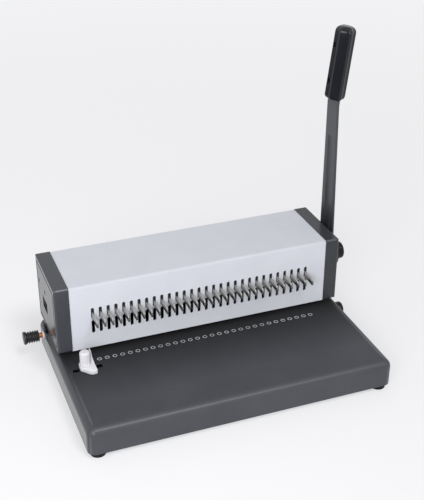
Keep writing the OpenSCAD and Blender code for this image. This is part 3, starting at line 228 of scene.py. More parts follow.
paint_dark, paint_light, paint_rub = (0.047, 0.050, 0.058), (0.057, 0.060, 0.069), (0.14, 0.145, 0.155)
table_z = span("die_plate")[1][2]
slot_y = span("guide_nut")[2][1]
# Painted shade: the guide slot's walls darkened to near black, as the shade inside the slot.
slot_painted_shade = ((-174.5, slot_y - 3.7, table_z - 9.0), (-136.5, slot_y + 3.7, table_z - 0.2), (0.4, 0.4, 0.5),
               0.12, 0.6)
# The table top is rougher and painted a tenth darker as shade.
table_rough_painted_shade = ((-190.0, -125.0, table_z - 1.2), (190.0, 125.0, table_z + 2.0), (4.0, 4.0, 1.0), 0.90, 0.55)
# Painted shadow: the table darkened towards the throat, as the housing's shadow falling on it.
throat_painted_shadow = ((-200.0, -75.0, table_z - 2.0), (200.0, 300.0, table_z + 2.0), (10.0, 98.0, 1.5), 0.12, 0.75)
edge_band = ((-190.0, -125.0, table_z - 9.0), (190.0, 125.0, table_z + 4.0), (1.0, 1.0, 3.0), 1.0, 0.36)
base_x, base_front = span("base_shell")[1][0], span("base_shell")[0][1]
# Painted highlights: pale lines along the roundings at the table's left and right edges.
line_in, line_out = base_x - 9.8, base_x - 6.6
painted_edge_highlights = [((low, -116.0, table_z - 3.0), (high, 22.0, table_z + 1.0), (1.2, 12.0, 0.5), 1.8, 0.27)
                for low, high in ((line_in, line_out), (-line_out, -line_in))]
# Painted highlights: pale strips down the two upright front corners of the base.
corner_in, corner_out, corner_deep = base_x - 4.6, base_x + 1.0, 4.6
painted_corner_highlights = [((low, base_front - 1.0, 4.0), (high, base_front + corner_deep, table_z - 3.0),
                   (1.6, 1.6, 5.0), 1.7, 0.20)
                  for low, high in ((corner_in, corner_out), (-corner_out, -corner_in))]
cast_paint = skinned("cast_paint", paint_dark, paint_light, rough=0.17, grain=2600.0, bump=0.08, rub=0.30,
                     rub_tint=paint_rub, gloss=0.30,
                     zones=[edge_band, table_rough_painted_shade, throat_painted_shadow, slot_painted_shade, *painted_edge_highlights, *painted_corner_highlights])


def ball_cornered(name, top, edge_r, upright_r, finish):
    """The casting with ball-shaped upper corners, from a copy of its mesh that is cut into a fine grid at the
    four corners. There a point keeps its reach, the largest of its distances from the axes of the two edge
    roundings and of the upright one, and moves along its direction from the ball's centre until its distance is
    that reach. Points well inside, on the foot bosses, stay."""
    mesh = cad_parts[name].data.copy()
    mesh.name = name + "_cast"
    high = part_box(name)[1]
    centre = np.array([high[0], high[1], top]) - edge_r
    grid = bmesh.new()
    grid.from_mesh(mesh)
    bmesh.ops.remove_doubles(grid, verts=grid.verts, dist=1e-6)
    for axis in (0, 1):
        for place in centre[axis] + edge_r * np.linspace(0.0, 0.97, 9):
            for side in (-1.0, 1.0):
                plane = np.eye(3)[axis]
                bmesh.ops.bisect_plane(grid, geom=grid.verts[:] + grid.edges[:] + grid.faces[:], dist=1e-7,
                                       plane_co=plane * place * side, plane_no=plane)
    bmesh.ops.triangulate(grid, faces=grid.faces)
    grid.to_mesh(mesh)
    grid.free()
    points = np.empty(len(mesh.vertices) * 3)
    mesh.vertices.foreach_get("co", points)
    points = points.reshape(-1, 3)
    u, v = (np.abs(points[:, :2]) - centre[:2]).T
    w = np.clip(points[:, 2] - centre[2], 0.0, None)
    past = edge_r - upright_r
    upright = np.where((u > past) & (v > past), np.hypot(u - past, v - past) + past, np.maximum(u, v))
    reach = np.maximum(upright, np.maximum(np.hypot(u, w), np.hypot(v, w)))
    shell = np.clip((reach / edge_r - 0.5) / 0.15, 0.0, 1.0) * ((u > 0) & (v > 0))
    share = 1.0 + shell * (reach / np.maximum(np.sqrt(u * u + v * v + w * w), 1e-9) - 1.0)
    points[:, 0] += np.sign(points[:, 0]) * u * (share - 1.0)
    points[:, 1] += np.sign(points[:, 1]) * v * (share - 1.0)
    points[:, 2] += w * (share - 1.0)
    mesh.vertices.foreach_set("co", points.ravel())
    mesh.materials.clear()
    mesh.materials.append(finish)
    mesh.shade_smooth()
    mesh.set_sharp_from_angle(angle=math.radians(38.0))
    made = bpy.data.objects.new(name + "_cast", mesh)
    bpy.context.scene.collection.objects.link(made)
    even = made.modifiers.new("even_normals", "WEIGHTED_NORMAL")
    even.keep_sharp = True
    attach(made, "machine")
    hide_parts(name)


ball_cornered("base_shell", table_z * 0.001, edge_r=0.0095, upright_r=0.008, finish=cast_paint)


# Printed rings: a row on the table in front of the throat, one for each hole.
# Screen-printed white ink, a hair proud of the coat, thin enough to let it show through in places.

def closed(rings, ends="flat"):
    """Skin over rings [ring, point, xyz]: quads from ring to ring and round each ring. "flat" puts one face on
    each end ring, "hoop" joins the last ring to the first. The sign of the volume turns the faces outwards."""
    rows, cols = rings.shape[:2]
    steps = np.arange(rows if ends == "hoop" else rows - 1)[:, None]
    here = np.arange(cols)[None, :]
    there = (here + 1) % cols
    after = (steps + 1) % rows
    quads = np.stack([steps * cols + here, steps * cols + there, after * cols + there, after * cols + here], -1)
    faces = quads.reshape(-1, 4).tolist()
    if ends == "flat":
        faces += [list(range(cols))[::-1], list(range((rows - 1) * cols, rows * cols))]
    points = rings.reshape(-1, 3)
    corner = points[quads.reshape(-1, 4)]
    middle = points.mean(0)
    a, b, c, d = (corner[:, k] - middle for k in range(4))
    volume = np.einsum("ij,ij->i", a, np.cross(b, c)).sum() + np.einsum("ij,ij->i", a, np.cross(c, d)).sum()
    if ends == "flat":
        for ring, side in ((rings[0], -1), (rings[-1], 1)):
            fan = ring - middle
            volume += side * np.einsum("j,ij->", fan[0], np.cross(fan[1:-1], fan[2:]))
    return points, [face[::-1] for face in faces] if volume < 0 else faces


def copies(skin, moves):
    """The same skin at each of several moves [copy, xyz], as a list of skins."""
    points, faces = skin
    return [(points + np.asarray(move), faces) for move in moves]


def piece(name, skins, finish, body, stands_for=(), crisp=38.0, polish=None):
    """One object from closed skins in millimetres, smooth but for edges sharper than crisp degrees. Polish, if
    given, is kept at each point for the finish to read."""
    starts = np.cumsum([0] + [len(points) for points, _ in skins])
    faces = [[corner + start for corner in face]
             for (_, some), start in zip(skins, starts.tolist()) for face in some]
    mesh = bpy.data.meshes.new(name)
    mesh.from_pydata((np.concatenate([points for points, _ in skins]) * 0.001).tolist(), [], faces)
    mesh.shade_smooth()
    mesh.set_sharp_from_angle(angle=math.radians(crisp))
    if polish is not None:
        mesh.attributes.new("polish", "FLOAT", "POINT").data.foreach_set("value", polish.ravel())
    mesh.materials.append(finish)
    made = bpy.data.objects.new(name, mesh)
    bpy.context.scene.collection.objects.link(made)
    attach(made, body)
    if stands_for:
        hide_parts(*stands_for)
    return made


def turned(profile, axis, centre, count):
    """Lathe: the profile's points [radius, along] go once round an axis (x or z) through a centre."""
    angle = np.linspace(0.0, 2 * np.pi, count, endpoint=False)
    radius = profile[:, 0][None, :]
    along = np.broadcast_to(profile[:, 1], (count, len(profile)))
    across = radius * np.cos(angle)[:, None]
    upward = radius * np.sin(angle)[:, None]
    order = (along, across, upward) if axis == "x" else (across, upward, along)
    return np.stack(order, -1) + np.asarray(centre)


hole_n, hole_pitch = 30, 9.5
row_x = (np.arange(hole_n) - (hole_n - 1) / 2) * hole_pitch
along_row = np.stack([row_x, 0 * row_x, 0 * row_x], -1)
ring_setback = 19.9
ring_y = span("front_cover")[0][1] - ring_setback
ring_in, ring_out, ink_sunk, ink_edge, ink_t, ink_lip = 2.05, 2.75, -0.1, 0.03, 0.05, 0.06
ring_profile = np.array([(ring_in, ink_sunk), (ring_in, ink_edge), (ring_in + ink_lip, ink_t),
                         (ring_out - ink_lip, ink_t), (ring_out, ink_edge), (ring_out, ink_sunk)])
white_ink = skinned("white_ink", (0.44, 0.45, 0.47), (0.60, 0.61, 0.63), rough=0.55, grain=3800.0, bump=0.2,
                    rub=0.0, rub_tint=(0.22, 0.23, 0.25), speck=0.6, gloss=0.3)
ring = closed(turned(ring_profile, "z", (0.0, ring_y, table_z), count=28), "hoop")
piece("table_rings", copies(ring, along_row), white_ink, "machine")


# Feet: four moulded rubber discs with rounded lower edges, each held by a screw through the bottom plate.
# The plate is zinc-plated sheet that closes the casting from below.

def rounded(corners, radii, steps=5):
    """Outline with rounded corners: at each corner a quadratic curve joins the points of both its sides that
    lie the corner's radius away."""
    corners = np.asarray(corners, float)
    before = np.roll(corners, 1, 0) - corners
    after = np.roll(corners, -1, 0) - corners
    start = corners + before / np.linalg.norm(before, axis=1)[:, None] * np.asarray(radii)[:, None]
    end = corners + after / np.linalg.norm(after, axis=1)[:, None] * np.asarray(radii)[:, None]
    t = np.linspace(0.0, 1.0, steps)[None, :, None]
    curve = (1 - t) ** 2 * start[:, None] + 2 * t * (1 - t) * corners[:, None] + t ** 2 * end[:, None]
    return curve.reshape(-1, corners.shape[1])


rubber = skinned("rubber", (0.007, 0.007, 0.008), (0.012, 0.012, 0.013), rough=0.78, grain=1500.0, bump=0.5,
                 rub=0.3, rub_tint=(0.06, 0.06, 0.06), edge=0.6, speck=0.25, gloss=0.2)
foot_r, foot_h, head_r, head_h, bore_r = 9.0, 6.6, 4.4, 3.3, 2.2
foot_profile = rounded([(head_r, 0.0), (foot_r, 0.0), (foot_r, foot_h), (bore_r, foot_h), (bore_r, head_h),
                        (head_r, head_h)], [0.5, 1.0, 0.4, 0.1, 0.1, 0.1])
foot = closed(turned(foot_profile, "z", (0.0, 0.0, 0.0), count=40), "hoop")
foot_x, foot_y = span("rubber_feet")[1][:2] - foot_r
piece("rubber_feet_moulded", copies(foot, [(x, y, 0.0) for x in (-foot_x, foot_x) for y in (-foot_y, foot_y)]),
      rubber, "machine", ["rubber_feet"])


def make_steel_streak():
    """Streak: long scratches along X from stretched noise, 0 to 1. Height: the same, finer, for the normal."""
    tree, given, put = shared_effect("steel_streak", [("Vector", "Vector")], ["Streak", "Height"])
    long = add(tree, "Mapping", [("Vector", given.outputs["Vector"])], Scale=(18.0, 900.0, 900.0))
    broad = add(tree, "TexNoise", [("Vector", long.outputs["Vector"])], Scale=1.0, Detail=3.0)
    wide = add(tree, "MapRange", [("Value", broad.outputs["Fac"])], From_Min=0.3, From_Max=0.7)
    hair = add(tree, "Mapping", [("Vector", given.outputs["Vector"])], Scale=(60.0, 3200.0, 3200.0))
    fine = add(tree, "TexNoise", [("Vector", hair.outputs["Vector"])], Scale=1.0, Detail=2.0)
    tree.links.new(wide.outputs["Result"], put.inputs["Streak"])
    tree.links.new(fine.outputs["Fac"], put.inputs["Height"])
    return tree


steel_streak = make_steel_streak()


def metal(name, dark, light, rough, bump=0.12, edge=0.25, bare=1.0, zones=()):
    """Bare or plated metal: two shades and two roughnesses along the streaks, zones, softened edges. Bare is
    below 1 for a dull plating that scatters part of the light."""
    material, tree, shader, place = blank_finish(name)
    drawn = add(tree, "Group", [("Vector", place)], node_tree=steel_streak)
    colour = blend(tree, drawn.outputs["Streak"], dark, light)
    sheen = add(tree, "MapRange", [("Value", drawn.outputs["Streak"])], To_Min=rough + 0.06,
                To_Max=rough - 0.06)
    colour, dull = zoned(tree, place, colour, sheen.outputs["Result"], zones)
    tree.links.new(colour, shader.inputs["Base Color"])
    tree.links.new(dull, shader.inputs["Roughness"])
    soft = add(tree, "Bevel", samples=4, Radius=edge * 0.001)
    scratch = add(tree, "Bump", [("Height", drawn.outputs["Height"]), ("Normal", soft.outputs["Normal"])],
                  Strength=bump, Distance=0.00006)
    tree.links.new(scratch.outputs["Normal"], shader.inputs["Normal"])
    shader.inputs["Metallic"].default_value = bare
    return material


zinc = metal("zinc_steel", (0.44, 0.45, 0.47), (0.60, 0.61, 0.63), rough=0.38)
steel = metal("steel", (0.38, 0.39, 0.41), (0.54, 0.55, 0.57), rough=0.32)
dress(zinc, "bottom_plate")
dress(steel, "foot_screws")


# Side frames and punching cassette inside the housing: blackened steel side plates, a die plate and guide plate
# held apart by blackened spacers, and the screws that hold them. The die and guide plates are steel painted
# near black as the shade in the throat, and the blackened parts are near black partly as the shade inside the
# housing.

# Blackened steel, near black partly as painted shade for the inside of the housing and behind the slots.
black_steel = skinned("black_steel", (0.010, 0.010, 0.011), (0.017, 0.017, 0.018), rough=0.55, grain=2200.0,
                      bump=0.15, rub=0.3, rub_tint=(0.08, 0.08, 0.08), gloss=0.3)
dress(black_steel, "side_frames", "throat_spacers")
# Dark steel: the cap screws' own finish, and on the die and guide plates painted shade for the throat.
dark_steel_and_throat_shade = metal("dark_steel_and_throat_shade", (0.045, 0.045, 0.047), (0.085, 0.085, 0.088), rough=0.46)
dress(dark_steel_and_throat_shade, "die_plate", "guide_plate")
dress(steel, "frame_screws", "cassette_screws", "guide_screws", "guide_posts")


# Return springs: two coils of round spring steel wire with closed ends, one on each guide post. The ram presses
# them down and they bring it back.

def coil(radius, wire, low, high, turns, centre, around=10, each_turn=28):
    """Round wire on a helix: angle 2 pi t, height by a rise that fades out over the first and last turn."""
    t = np.linspace(0.0, turns, int(turns * each_turn) + 1)
    pitch = np.clip(np.minimum(t, turns - t), 0.12, 1.0)
    rise = np.concatenate([[0.0], np.cumsum((pitch[1:] + pitch[:-1]) / 2)])
    height = low + (high - low) * rise / rise[-1]
    angle = 2 * np.pi * t
    outward = np.stack([np.cos(angle), np.sin(angle), 0 * angle], -1)
    middle = radius * outward + np.stack([0 * t, 0 * t, height], -1)
    forward = np.gradient(middle, axis=0)
    forward /= np.linalg.norm(forward, axis=1)[:, None]
    upward = np.cross(forward, outward)
    ring = np.linspace(0.0, 2 * np.pi, around, endpoint=False)[None, :, None]
    return middle[:, None] + wire * (np.cos(ring) * outward[:, None] + np.sin(ring) * upward[:, None]) + centre


spring_low, spring_high = (corner[2] for corner in span("return_springs")[:2])
coil_r, spring_wire, coil_turns, post_r = 5.1, 0.7, 8.0, 4.0
post_x = span("guide_posts")[1][0] - post_r
punch_y = span("punch_pins")[2][1]
wound = closed(coil(coil_r, spring_wire, spring_low + spring_wire, spring_high - spring_wire, coil_turns,
                    np.array([0.0, punch_y, 0.0])))
springs = piece("return_springs_wound", copies(wound, [(-post_x, 0, 0), (post_x, 0, 0)]), steel, "machine",
                ["return_springs"])
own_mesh(springs)


# Ram: a ground steel bar with thirty nickel-plated punches, which a screwed strip holds. Two racks on it mesh
# with pinions on the shaft, which drive it down.

nickel = metal("bright_steel", (0.58, 0.57, 0.54), (0.74, 0.73, 0.70), rough=0.22, bump=0.06)
dress(steel, "ram_bar", "pin_retainer", "retainer_screws", "ram_racks")
dress(nickel, "punch_pins")


# Drive shaft: ground steel, across the housing in two sintered bronze bushes, held by two collars. It carries
# two pinions for the ram and two for the comb.

bronze = metal("bronze", (0.42, 0.27, 0.11), (0.56, 0.38, 0.17), rough=0.40)
dress(bronze, "shaft_bushes")
dress(steel, "drive_shaft", "shaft_collars", "ram_pinions", "lift_pinions")


# Comb: thirty stamped fingers on a blackened bar behind the cover, with two racks that lift it; the bar's near
# black also stands in for the shade behind the slots. Each finger is a nickel-plated hook of 2.4 mm sheet,
# tumbled so that its edges are rounded, with painted shade towards its point.

def stamped(outline, x_low, x_high, edge):
    """Flat piece cut from sheet: the outline [along, up] carried across X, drawn in by a quarter circle of the
    edge's radius at both faces."""
    ahead = np.roll(outline, -1, 0) - np.roll(outline, 1, 0)
    inward = np.stack([-ahead[:, 1], ahead[:, 0]], -1)
    inward /= np.linalg.norm(inward, axis=1)[:, None]
    following = np.roll(outline, -1, 0)
    inward *= np.sign(np.sum(outline[:, 0] * following[:, 1] - outline[:, 1] * following[:, 0]))
    turn = np.linspace(0.0, np.pi / 2, 4)
    depth = edge * np.concatenate([1 - np.cos(turn[::-1]), 1 - np.cos(turn)])
    x = np.concatenate([x_low + edge * (1 - np.sin(turn[::-1])), x_high - edge * (1 - np.sin(turn))])
    shape = outline[None] + depth[:, None, None] * inward[None]
    return np.concatenate([np.broadcast_to(x[:, None, None], shape.shape[:2] + (1,)), shape], -1)


finger_low, finger_high, _ = span("comb_fingers")
tip = finger_low[1:]
finger_l = finger_high[1] - tip[0]
finger_half, finger_edge = finger_high[0] - row_x[-1], 0.9
finger_outline = rounded(
    tip + [(finger_l, 1.6), (finger_l, 8.5), (4.6, 8.5), (1.9, 7.2), (0.5, 5.0), (0.0, 2.6), (0.7, 0.0),
           (3.6, 2.7), (7.2, 4.0)],
    [0.6, 0.6, 1.5, 1.3, 1.2, 1.1, 1.1, 1.4, 1.7], steps=6)
finger = closed(stamped(finger_outline, -finger_half, finger_half, finger_edge))
# Painted shade: the fingers darkened towards their points.
finger_point_painted_shade = ((-200.0, tip[0] - 6.0, tip[1] - 6.0), (200.0, tip[0] + 9.0, tip[1] + 8.2), (1.0, 5.0, 2.4),
          0.22, 0.55)
finger_nickel = metal("finger_nickel", (0.43, 0.422, 0.402), (0.54, 0.531, 0.509), rough=0.50, bump=0.06,
                      bare=0.80, zones=[finger_point_painted_shade])
piece("comb_fingers_stamped", copies(finger, along_row), finger_nickel, "comb",
      ["comb_fingers"])
dress(black_steel, "finger_bar")
dress(steel, "lift_racks")
dress(zinc, "comb_guides")


# Covers: the front cover is one folded sheet, punched with thirty pairs of slots and sprayed satin silver-grey
# with a faint metallic sparkle. The back cover is a plain dark grey moulding held by four screws.

cover_y, cover_z = span("front_cover")[0][1], span("front_cover")[1][2]
# Painted shade: the fold between the cover's front and top a tenth darker, against its highlight; it is rougher
# there too.
fold_painted_shade = ((-170.0, cover_y - 2.0, cover_z - 4.0), (170.0, cover_y + 4.0, cover_z + 2.0), (1.0, 2.5, 2.5),
        0.90, 0.70)
silver_paint = skinned("silver_paint", (0.570, 0.585, 0.635), (0.600, 0.615, 0.665), rough=0.60, grain=5200.0,
                       bump=0.10, rub=0.0, rub_tint=(0.72, 0.73, 0.76), speck=0.10, gloss=0.12, zones=[fold_painted_shade])
dress(silver_paint, "front_cover")


def moulded_grey(name, zones=()):
    """Dark grey moulding with a fine grain and edges rubbed pale, as wear and as painted highlights."""
    return skinned(name, paint_dark, paint_light, rough=0.21, grain=3600.0, bump=0.14, rub=0.60,
                   rub_tint=(0.27, 0.28, 0.30), edge=0.8, gloss=0.25, speck=0.05, zones=zones)


dress(moulded_grey("back_plastic"), "back_cover")
dress(steel, "back_screws")


# End caps: two hollow dark grey mouldings with a fine spark-eroded grain, screwed to the side frames from
# outside. A groove sets a panel off from the rim of each end face, and the left one has a deep rectangular
# window. The rims and the front upper edges carry painted highlights, the groove painted shade, and the right
# cap is painted darker as shade.

def cap_finish(name, side, tone):
    """Moulded skin of one cap: an overall tone, below 1 as painted shade, painted highlights on the rim of its
    end face and on its front upper edge, and painted shade in the groove. The groove's shade is laid over the
    panel too and taken off again inside it."""
    low, high, _ = span(name)
    face = high[0] if side > 0 else low[0]
    groove_in, groove_out, groove_shade = 4.9, 7.2, 0.12

    def on_face(depth, yz_low, yz_high, soft, shade, rough):
        """Zone that reaches from just outside the end face to a depth behind it."""
        x_low, x_high = sorted((face + side, face - depth * side))
        return (x_low, *yz_low), (x_high, *yz_high), soft, shade, rough

    # Overall tone: 1 on the left cap; below 1 on the right cap as painted shade.
    whole = on_face(30.0, low[1:] - 5.0, high[1:] + 5.0, (0.5, 1.0, 1.0), tone, 0.21)
    # Painted highlights: a pale rim along the top and front of the end face.
    rim_top_highlight = on_face(0.5, (low[1] + 1.0, high[2] - groove_in), (high[1] - 1.0, high[2] - 1.2),
                      (0.2, 0.6, 0.5), 3.0, 0.12)
    rim_front_highlight = on_face(0.5, (low[1] + 1.2, low[2]), (low[1] + groove_in, high[2] - 1.2),
                        (0.2, 0.5, 0.6), 2.0, 0.25)
    # Painted shade: a dark groove line, laid over the panel and taken off again inside it.
    groove_painted_shade = on_face(2.0, low[1:] + groove_in, high[1:] - groove_in, (0.3, 0.2, 0.2), groove_shade, 0.95)
    panel = on_face(2.0, low[1:] + groove_out, high[1:] - groove_out, (0.3, 0.2, 0.2), 1.0 / groove_shade,
                    0.20)
    # Painted highlight: a pale strip along the cap's front upper edge.
    worn = ((low[0] + 1.5, low[1] - 1.0, high[2] - 2.3), (high[0] - 1.5, low[1] + 2.3, high[2] + 1.0),
            (3.0, 1.2, 1.2), 2.4, 0.16)
    return moulded_grey(name + "_skin", [whole, rim_top_highlight, rim_front_highlight, groove_painted_shade, panel, worn])


dress(cap_finish("left_end_cap", side=-1, tone=1.0), "left_end_cap")
# Painted shade: the right cap at 0.70 of the left cap's tone.
dress(cap_finish("right_end_cap", side=1, tone=0.70), "right_end_cap")
dress(dark_steel_and_throat_shade, "cap_screws")


# Lever: a tapered bar of pressed steel with a long dished channel in its inner face, welded to a round hub and
# bent outwards at the grip. It has the base's dark powder coat, a little lighter as painted light, with painted
# shade towards its foot.

def placed(points, *moves):
    """Points [.., xyz] carried through a list of 4x4 placings, the last one first."""
    whole = Matrix.Identity(4)
    for move in moves:
        whole = whole @ move
    turn = np.array(whole.to_3x3())
    return points @ turn.T + np.array(whole.translation)


shaft_mid = span("drive_shaft")[2]
bar_lean, bar_bend = math.radians(-1.5), math.radians(7.5)
lever_foot = (Matrix.Translation((span("hub_spacer")[1][0], shaft_mid[1], shaft_mid[2]))
              @ Matrix.Rotation(bar_lean, 4, "X"))
bar_t, bar_l, bar_low, bar_high, bar_edge, tang_l, tang_half = 3.0, 205.0, 17.5, 13.3, 0.9, 77.0, 9.5
bend_start, bend_l = 199.5, 11.0
channel_low, channel_high, channel_half, channel_deep = 37.0, 158.0, 7.5, 2.1
grip_low, grip_high = 6.0, 95.0


def lever_bar():
    """Bar as rings up its length: an inner face dished by (1 - q^4)^2, where q is the distance from the
    channel's middle line over its half width, an outer face and two rounded edges. Above the bend each ring
    turns outwards about the bend line."""
    start = bar_l + grip_low
    up = np.concatenate([np.linspace(0.0, bend_start - 1.5, 110), np.linspace(bend_start, start - 0.1, 9),
                         [start + 0.2, start + 20.0, bar_l + tang_l]])
    half = np.interp(up, [0.0, bar_l, start, start + 0.2], [bar_low, bar_high, bar_high, tang_half])
    flat_half = (half - bar_edge)[:, None]
    y_in = np.linspace(-1.0, 1.0, 45)[None, :] * flat_half
    off = np.clip(np.stack([channel_low - up, up - channel_high, 0 * up]).max(0), 0.0, None)
    q = np.clip(np.hypot(y_in, off[:, None]) / channel_half, 0.0, 1.0)
    x_in = channel_deep * (1 - q ** 4) ** 2
    turn = np.linspace(0.0, np.pi / 2, 5)[None, 1:-1]
    right_y = flat_half + bar_edge * np.sin(turn)
    low_x = np.broadcast_to(bar_edge * (1 - np.cos(turn)), right_y.shape)
    y_out = np.linspace(1.0, -1.0, 9)[None, :] * flat_half
    x_out = np.full(y_out.shape, bar_t)
    x = np.concatenate([x_in, low_x, bar_t - low_x[:, ::-1], x_out, bar_t - low_x, low_x[:, ::-1]], 1)
    y = np.concatenate([y_in, right_y, right_y[:, ::-1], y_out, -right_y, -right_y[:, ::-1]], 1)
    bent = bar_bend * np.clip((up - bend_start) / bend_l, 0.0, 1.0)[:, None]
    reach = np.clip(up - bar_l, 0.0, None)[:, None]
    mid = bar_t / 2
    away = x - mid
    return np.stack([mid + away * np.cos(bent) + reach * math.sin(bar_bend), y,
                     np.minimum(up, bar_l)[:, None] + reach * math.cos(bar_bend) - away * np.sin(bent)], -1)


hub_bore, hub_r, hub_t = 5.05, 18.0, 12.3
hub_profile = rounded([(hub_bore, 0.0), (hub_r, 0.0), (hub_r, hub_t), (hub_bore, hub_t)], [0.2, 0.6, 1.6, 0.2])
hub = closed(placed(turned(hub_profile, "x", (0.0, 0.0, 0.0), count=64), lever_foot), "hoop")
# Painted shade: the lever darker towards its foot, near the housing.
lever_foot_painted_shade = ((100.0, -100.0, -200.0), (300.0, 250.0, 245.0), (1.0, 1.0, 130.0), 0.42, 0.36)
lever_paint_painted_light = skinned("lever_paint_painted_light", (0.052, 0.055, 0.063), (0.063, 0.066, 0.075), rough=0.32, grain=2600.0,
                      bump=0.16, rub=0.30, rub_tint=paint_rub, gloss=0.28, zones=[lever_foot_painted_shade])
piece("lever_pressed", [closed(placed(lever_bar(), lever_foot)), hub], lever_paint_painted_light, "lever",
      ["lever_arm"])
black_plastic = skinned("black_plastic", (0.004, 0.004, 0.005), (0.008, 0.008, 0.009), rough=0.30,
                        grain=3000.0, bump=0.14, rub=0.2, rub_tint=(0.04, 0.04, 0.04), edge=0.5, gloss=0.2)
dress(black_plastic, "hub_cap")
dress(steel, "hub_spacer")


# Grip: two glossy black mouldings screwed together round the bar's bent end. Six slightly hollow faces meet in
# ridges, the joint runs along the narrow sides, and two deep holes in the inner half take the screws.

grip_x, grip_y, grip_flat, grip_seam, grip_hollow = 11.5, 13.5, 5.5, 1.5, 0.45
grip_place = lever_foot @ Matrix.Translation((bar_t / 2, 0.0, bar_l)) @ Matrix.Rotation(bar_bend, 4, "Y")
screw_up = np.array([28.7, 72.3])
hole_r, hole_deep = 3.0, 4.6


def quarter_draw(up, start, radius):
    """How far a quarter circle of a radius has drawn in at a height past its start: r - sqrt(r^2 - h^2)."""
    past = np.clip((up - start) / radius, 0.0, 1.0)
    return radius * (1 - np.sqrt(1 - past ** 2))


def grip_half(side):
    """Half a grip as rings up its length. Round each ring: a half octagon with hollow faces and rounded ridges,
    then the joint face with a recess for the bar. The ring draws in on quarter circles at its lower edge and at
    the top. In the inner half the flat's grid is pulled from squares to circles round each screw hole and
    pushed in there. With the rings comes their polish: high where hands rub, on the ridges and the top."""
    pad, hole_lip, pad_ease = 3.9, 0.1, 0.75
    spread = np.array([0.0, 1.0, 2.0, hole_r, hole_r + hole_lip, hole_r + 0.45, pad])
    near = np.concatenate([-spread[:0:-1], spread])
    low_x, low_y, top_r = 5.0, 2.6, 7.5
    plain = np.linspace(14.0, 84.0, 20)
    plain = plain[np.abs(plain[:, None] - screw_up).min(1) > pad + 0.6]
    curve = np.linspace(0.0, np.pi / 2, 13)
    up = np.unique(np.round(np.concatenate([
        grip_low + low_x * (1 - np.cos(curve)), plain, (screw_up[:, None] + near).ravel(),
        grip_high - top_r * (1 - np.sin(curve)), [tang_l + 0.3, tang_l + 0.5]]), 5))
    top = quarter_draw(up, grip_high - top_r, top_r)
    wide_x = (grip_x - quarter_draw(-up, -grip_low - low_x, low_x) - top) / grip_x
    wide_y = (grip_y - quarter_draw(-up, -grip_low - low_y, low_y) - top) / grip_y

    soft = 1.2
    corner, seam = np.array([grip_x, -grip_flat]), np.array([grip_seam, -grip_y])
    slope = (corner - seam) / np.linalg.norm(corner - seam)
    out = np.array([slope[1], -slope[0]])
    ends = seam + 0.5 * slope, corner - 1.4 * slope
    t = np.linspace(0.0, 1.0, 11)[:, None]
    facet = ends[0] + t * (ends[1] - ends[0]) - grip_hollow * (4 * t * (1 - t)) * out
    bend_t = np.linspace(0.0, 1.0, 7)[1:-1, None]
    knee = ((1 - bend_t) ** 2 * ends[1] + 2 * bend_t * (1 - bend_t) * corner
            + bend_t ** 2 * (corner + [0.0, soft]))
    lip = np.array([(0.0, -grip_y + 0.35), (0.12, -grip_y + 0.06), (0.3, -grip_y), (grip_seam - 0.3, -grip_y)])
    rise = np.concatenate([lip, facet, knee])
    flat_y = np.concatenate([[-grip_flat + soft], near, [grip_flat - soft]])
    round_x = np.concatenate([rise[:, 0], np.full(len(flat_y), grip_x), rise[::-1, 0]])
    round_y = np.concatenate([rise[:, 1], flat_y, -rise[::-1, 1]])
    first, last = len(rise), len(rise) + len(flat_y)
    lip_polish, facet_polish, knee_polish, flat_polish, top_polish = 0.80, 0.12, 1.00, 0.04, 0.75
    rubbed = np.repeat([lip_polish, facet_polish, knee_polish], [len(lip), len(facet), len(knee)])
    rubbed = np.concatenate([rubbed, np.full(len(flat_y), flat_polish), rubbed[::-1], np.zeros(4)])
    crown = np.clip((up - grip_high + top_r + 1.0) / top_r, 0.0, 1.0)[:, None]

    x = round_x * wide_x[:, None]
    y = round_y * wide_y[:, None]
    z = np.broadcast_to(up[:, None], x.shape).copy()
    if side < 0:
        for centre in screw_up:
            u, v = y[:, first:last].copy(), z[:, first:last] - centre
            size = np.maximum(np.abs(u), np.abs(v))
            far = np.maximum(np.hypot(u, v), 1e-9)
            mix = np.clip((size - hole_r - hole_lip) / pad_ease, 0.0, 1.0)
            pull = np.where(size < pad + 0.05, (1 - mix) * size / far + mix, 1.0)
            y[:, first:last] = u * pull
            z[:, first:last] = centre + v * pull
            on_lip = np.abs(size - hole_r - hole_lip) < 0.05
            x[:, first:last] -= hole_deep * (size < hole_r + 0.05) + hole_lip * on_lip
    joint_y = np.minimum(tang_half + 0.2, grip_y * wide_y - 0.8)[:, None] * np.array([1.0, 1.0, -1.0, -1.0])
    joint_x = np.where(up < tang_l + 0.4, bar_t / 2 + 0.05, 0.02)[:, None] * np.array([0.0, 1.0, 1.0, 0.0])
    x = np.concatenate([x, joint_x], 1) * side + 0.02 * side
    y = np.concatenate([y, joint_y], 1)
    z = np.concatenate([z, np.broadcast_to(up[:, None], joint_y.shape)], 1)
    return np.stack([x, y, z], -1), rubbed + (top_polish - rubbed) * crown


black_gloss = skinned("black_gloss", (0.006, 0.007, 0.010), (0.010, 0.011, 0.015), rough=0.30, grain=900.0,
                      bump=0.04, rub=0.1, rub_tint=(0.03, 0.03, 0.03), edge=0.3, speck=0.05, gloss=0.04)
tree = black_gloss.node_tree
rubbed_bright = add(tree, "Attribute", attribute_name="polish")
tree.links.new(rubbed_bright.outputs["Fac"], tree.nodes["Principled BSDF"].inputs["Coat Weight"])
tree.nodes["Principled BSDF"].inputs["Coat Roughness"].default_value = 0.10
for side, word in ((-1, "inner"), (1, "outer")):
    rings, polish = grip_half(side)
    piece("grip_" + word + "_moulded", [closed(placed(rings, grip_place))], black_gloss, "lever",
          ["grip_" + word], crisp=50.0, polish=polish)
dress(steel, "grip_screws")


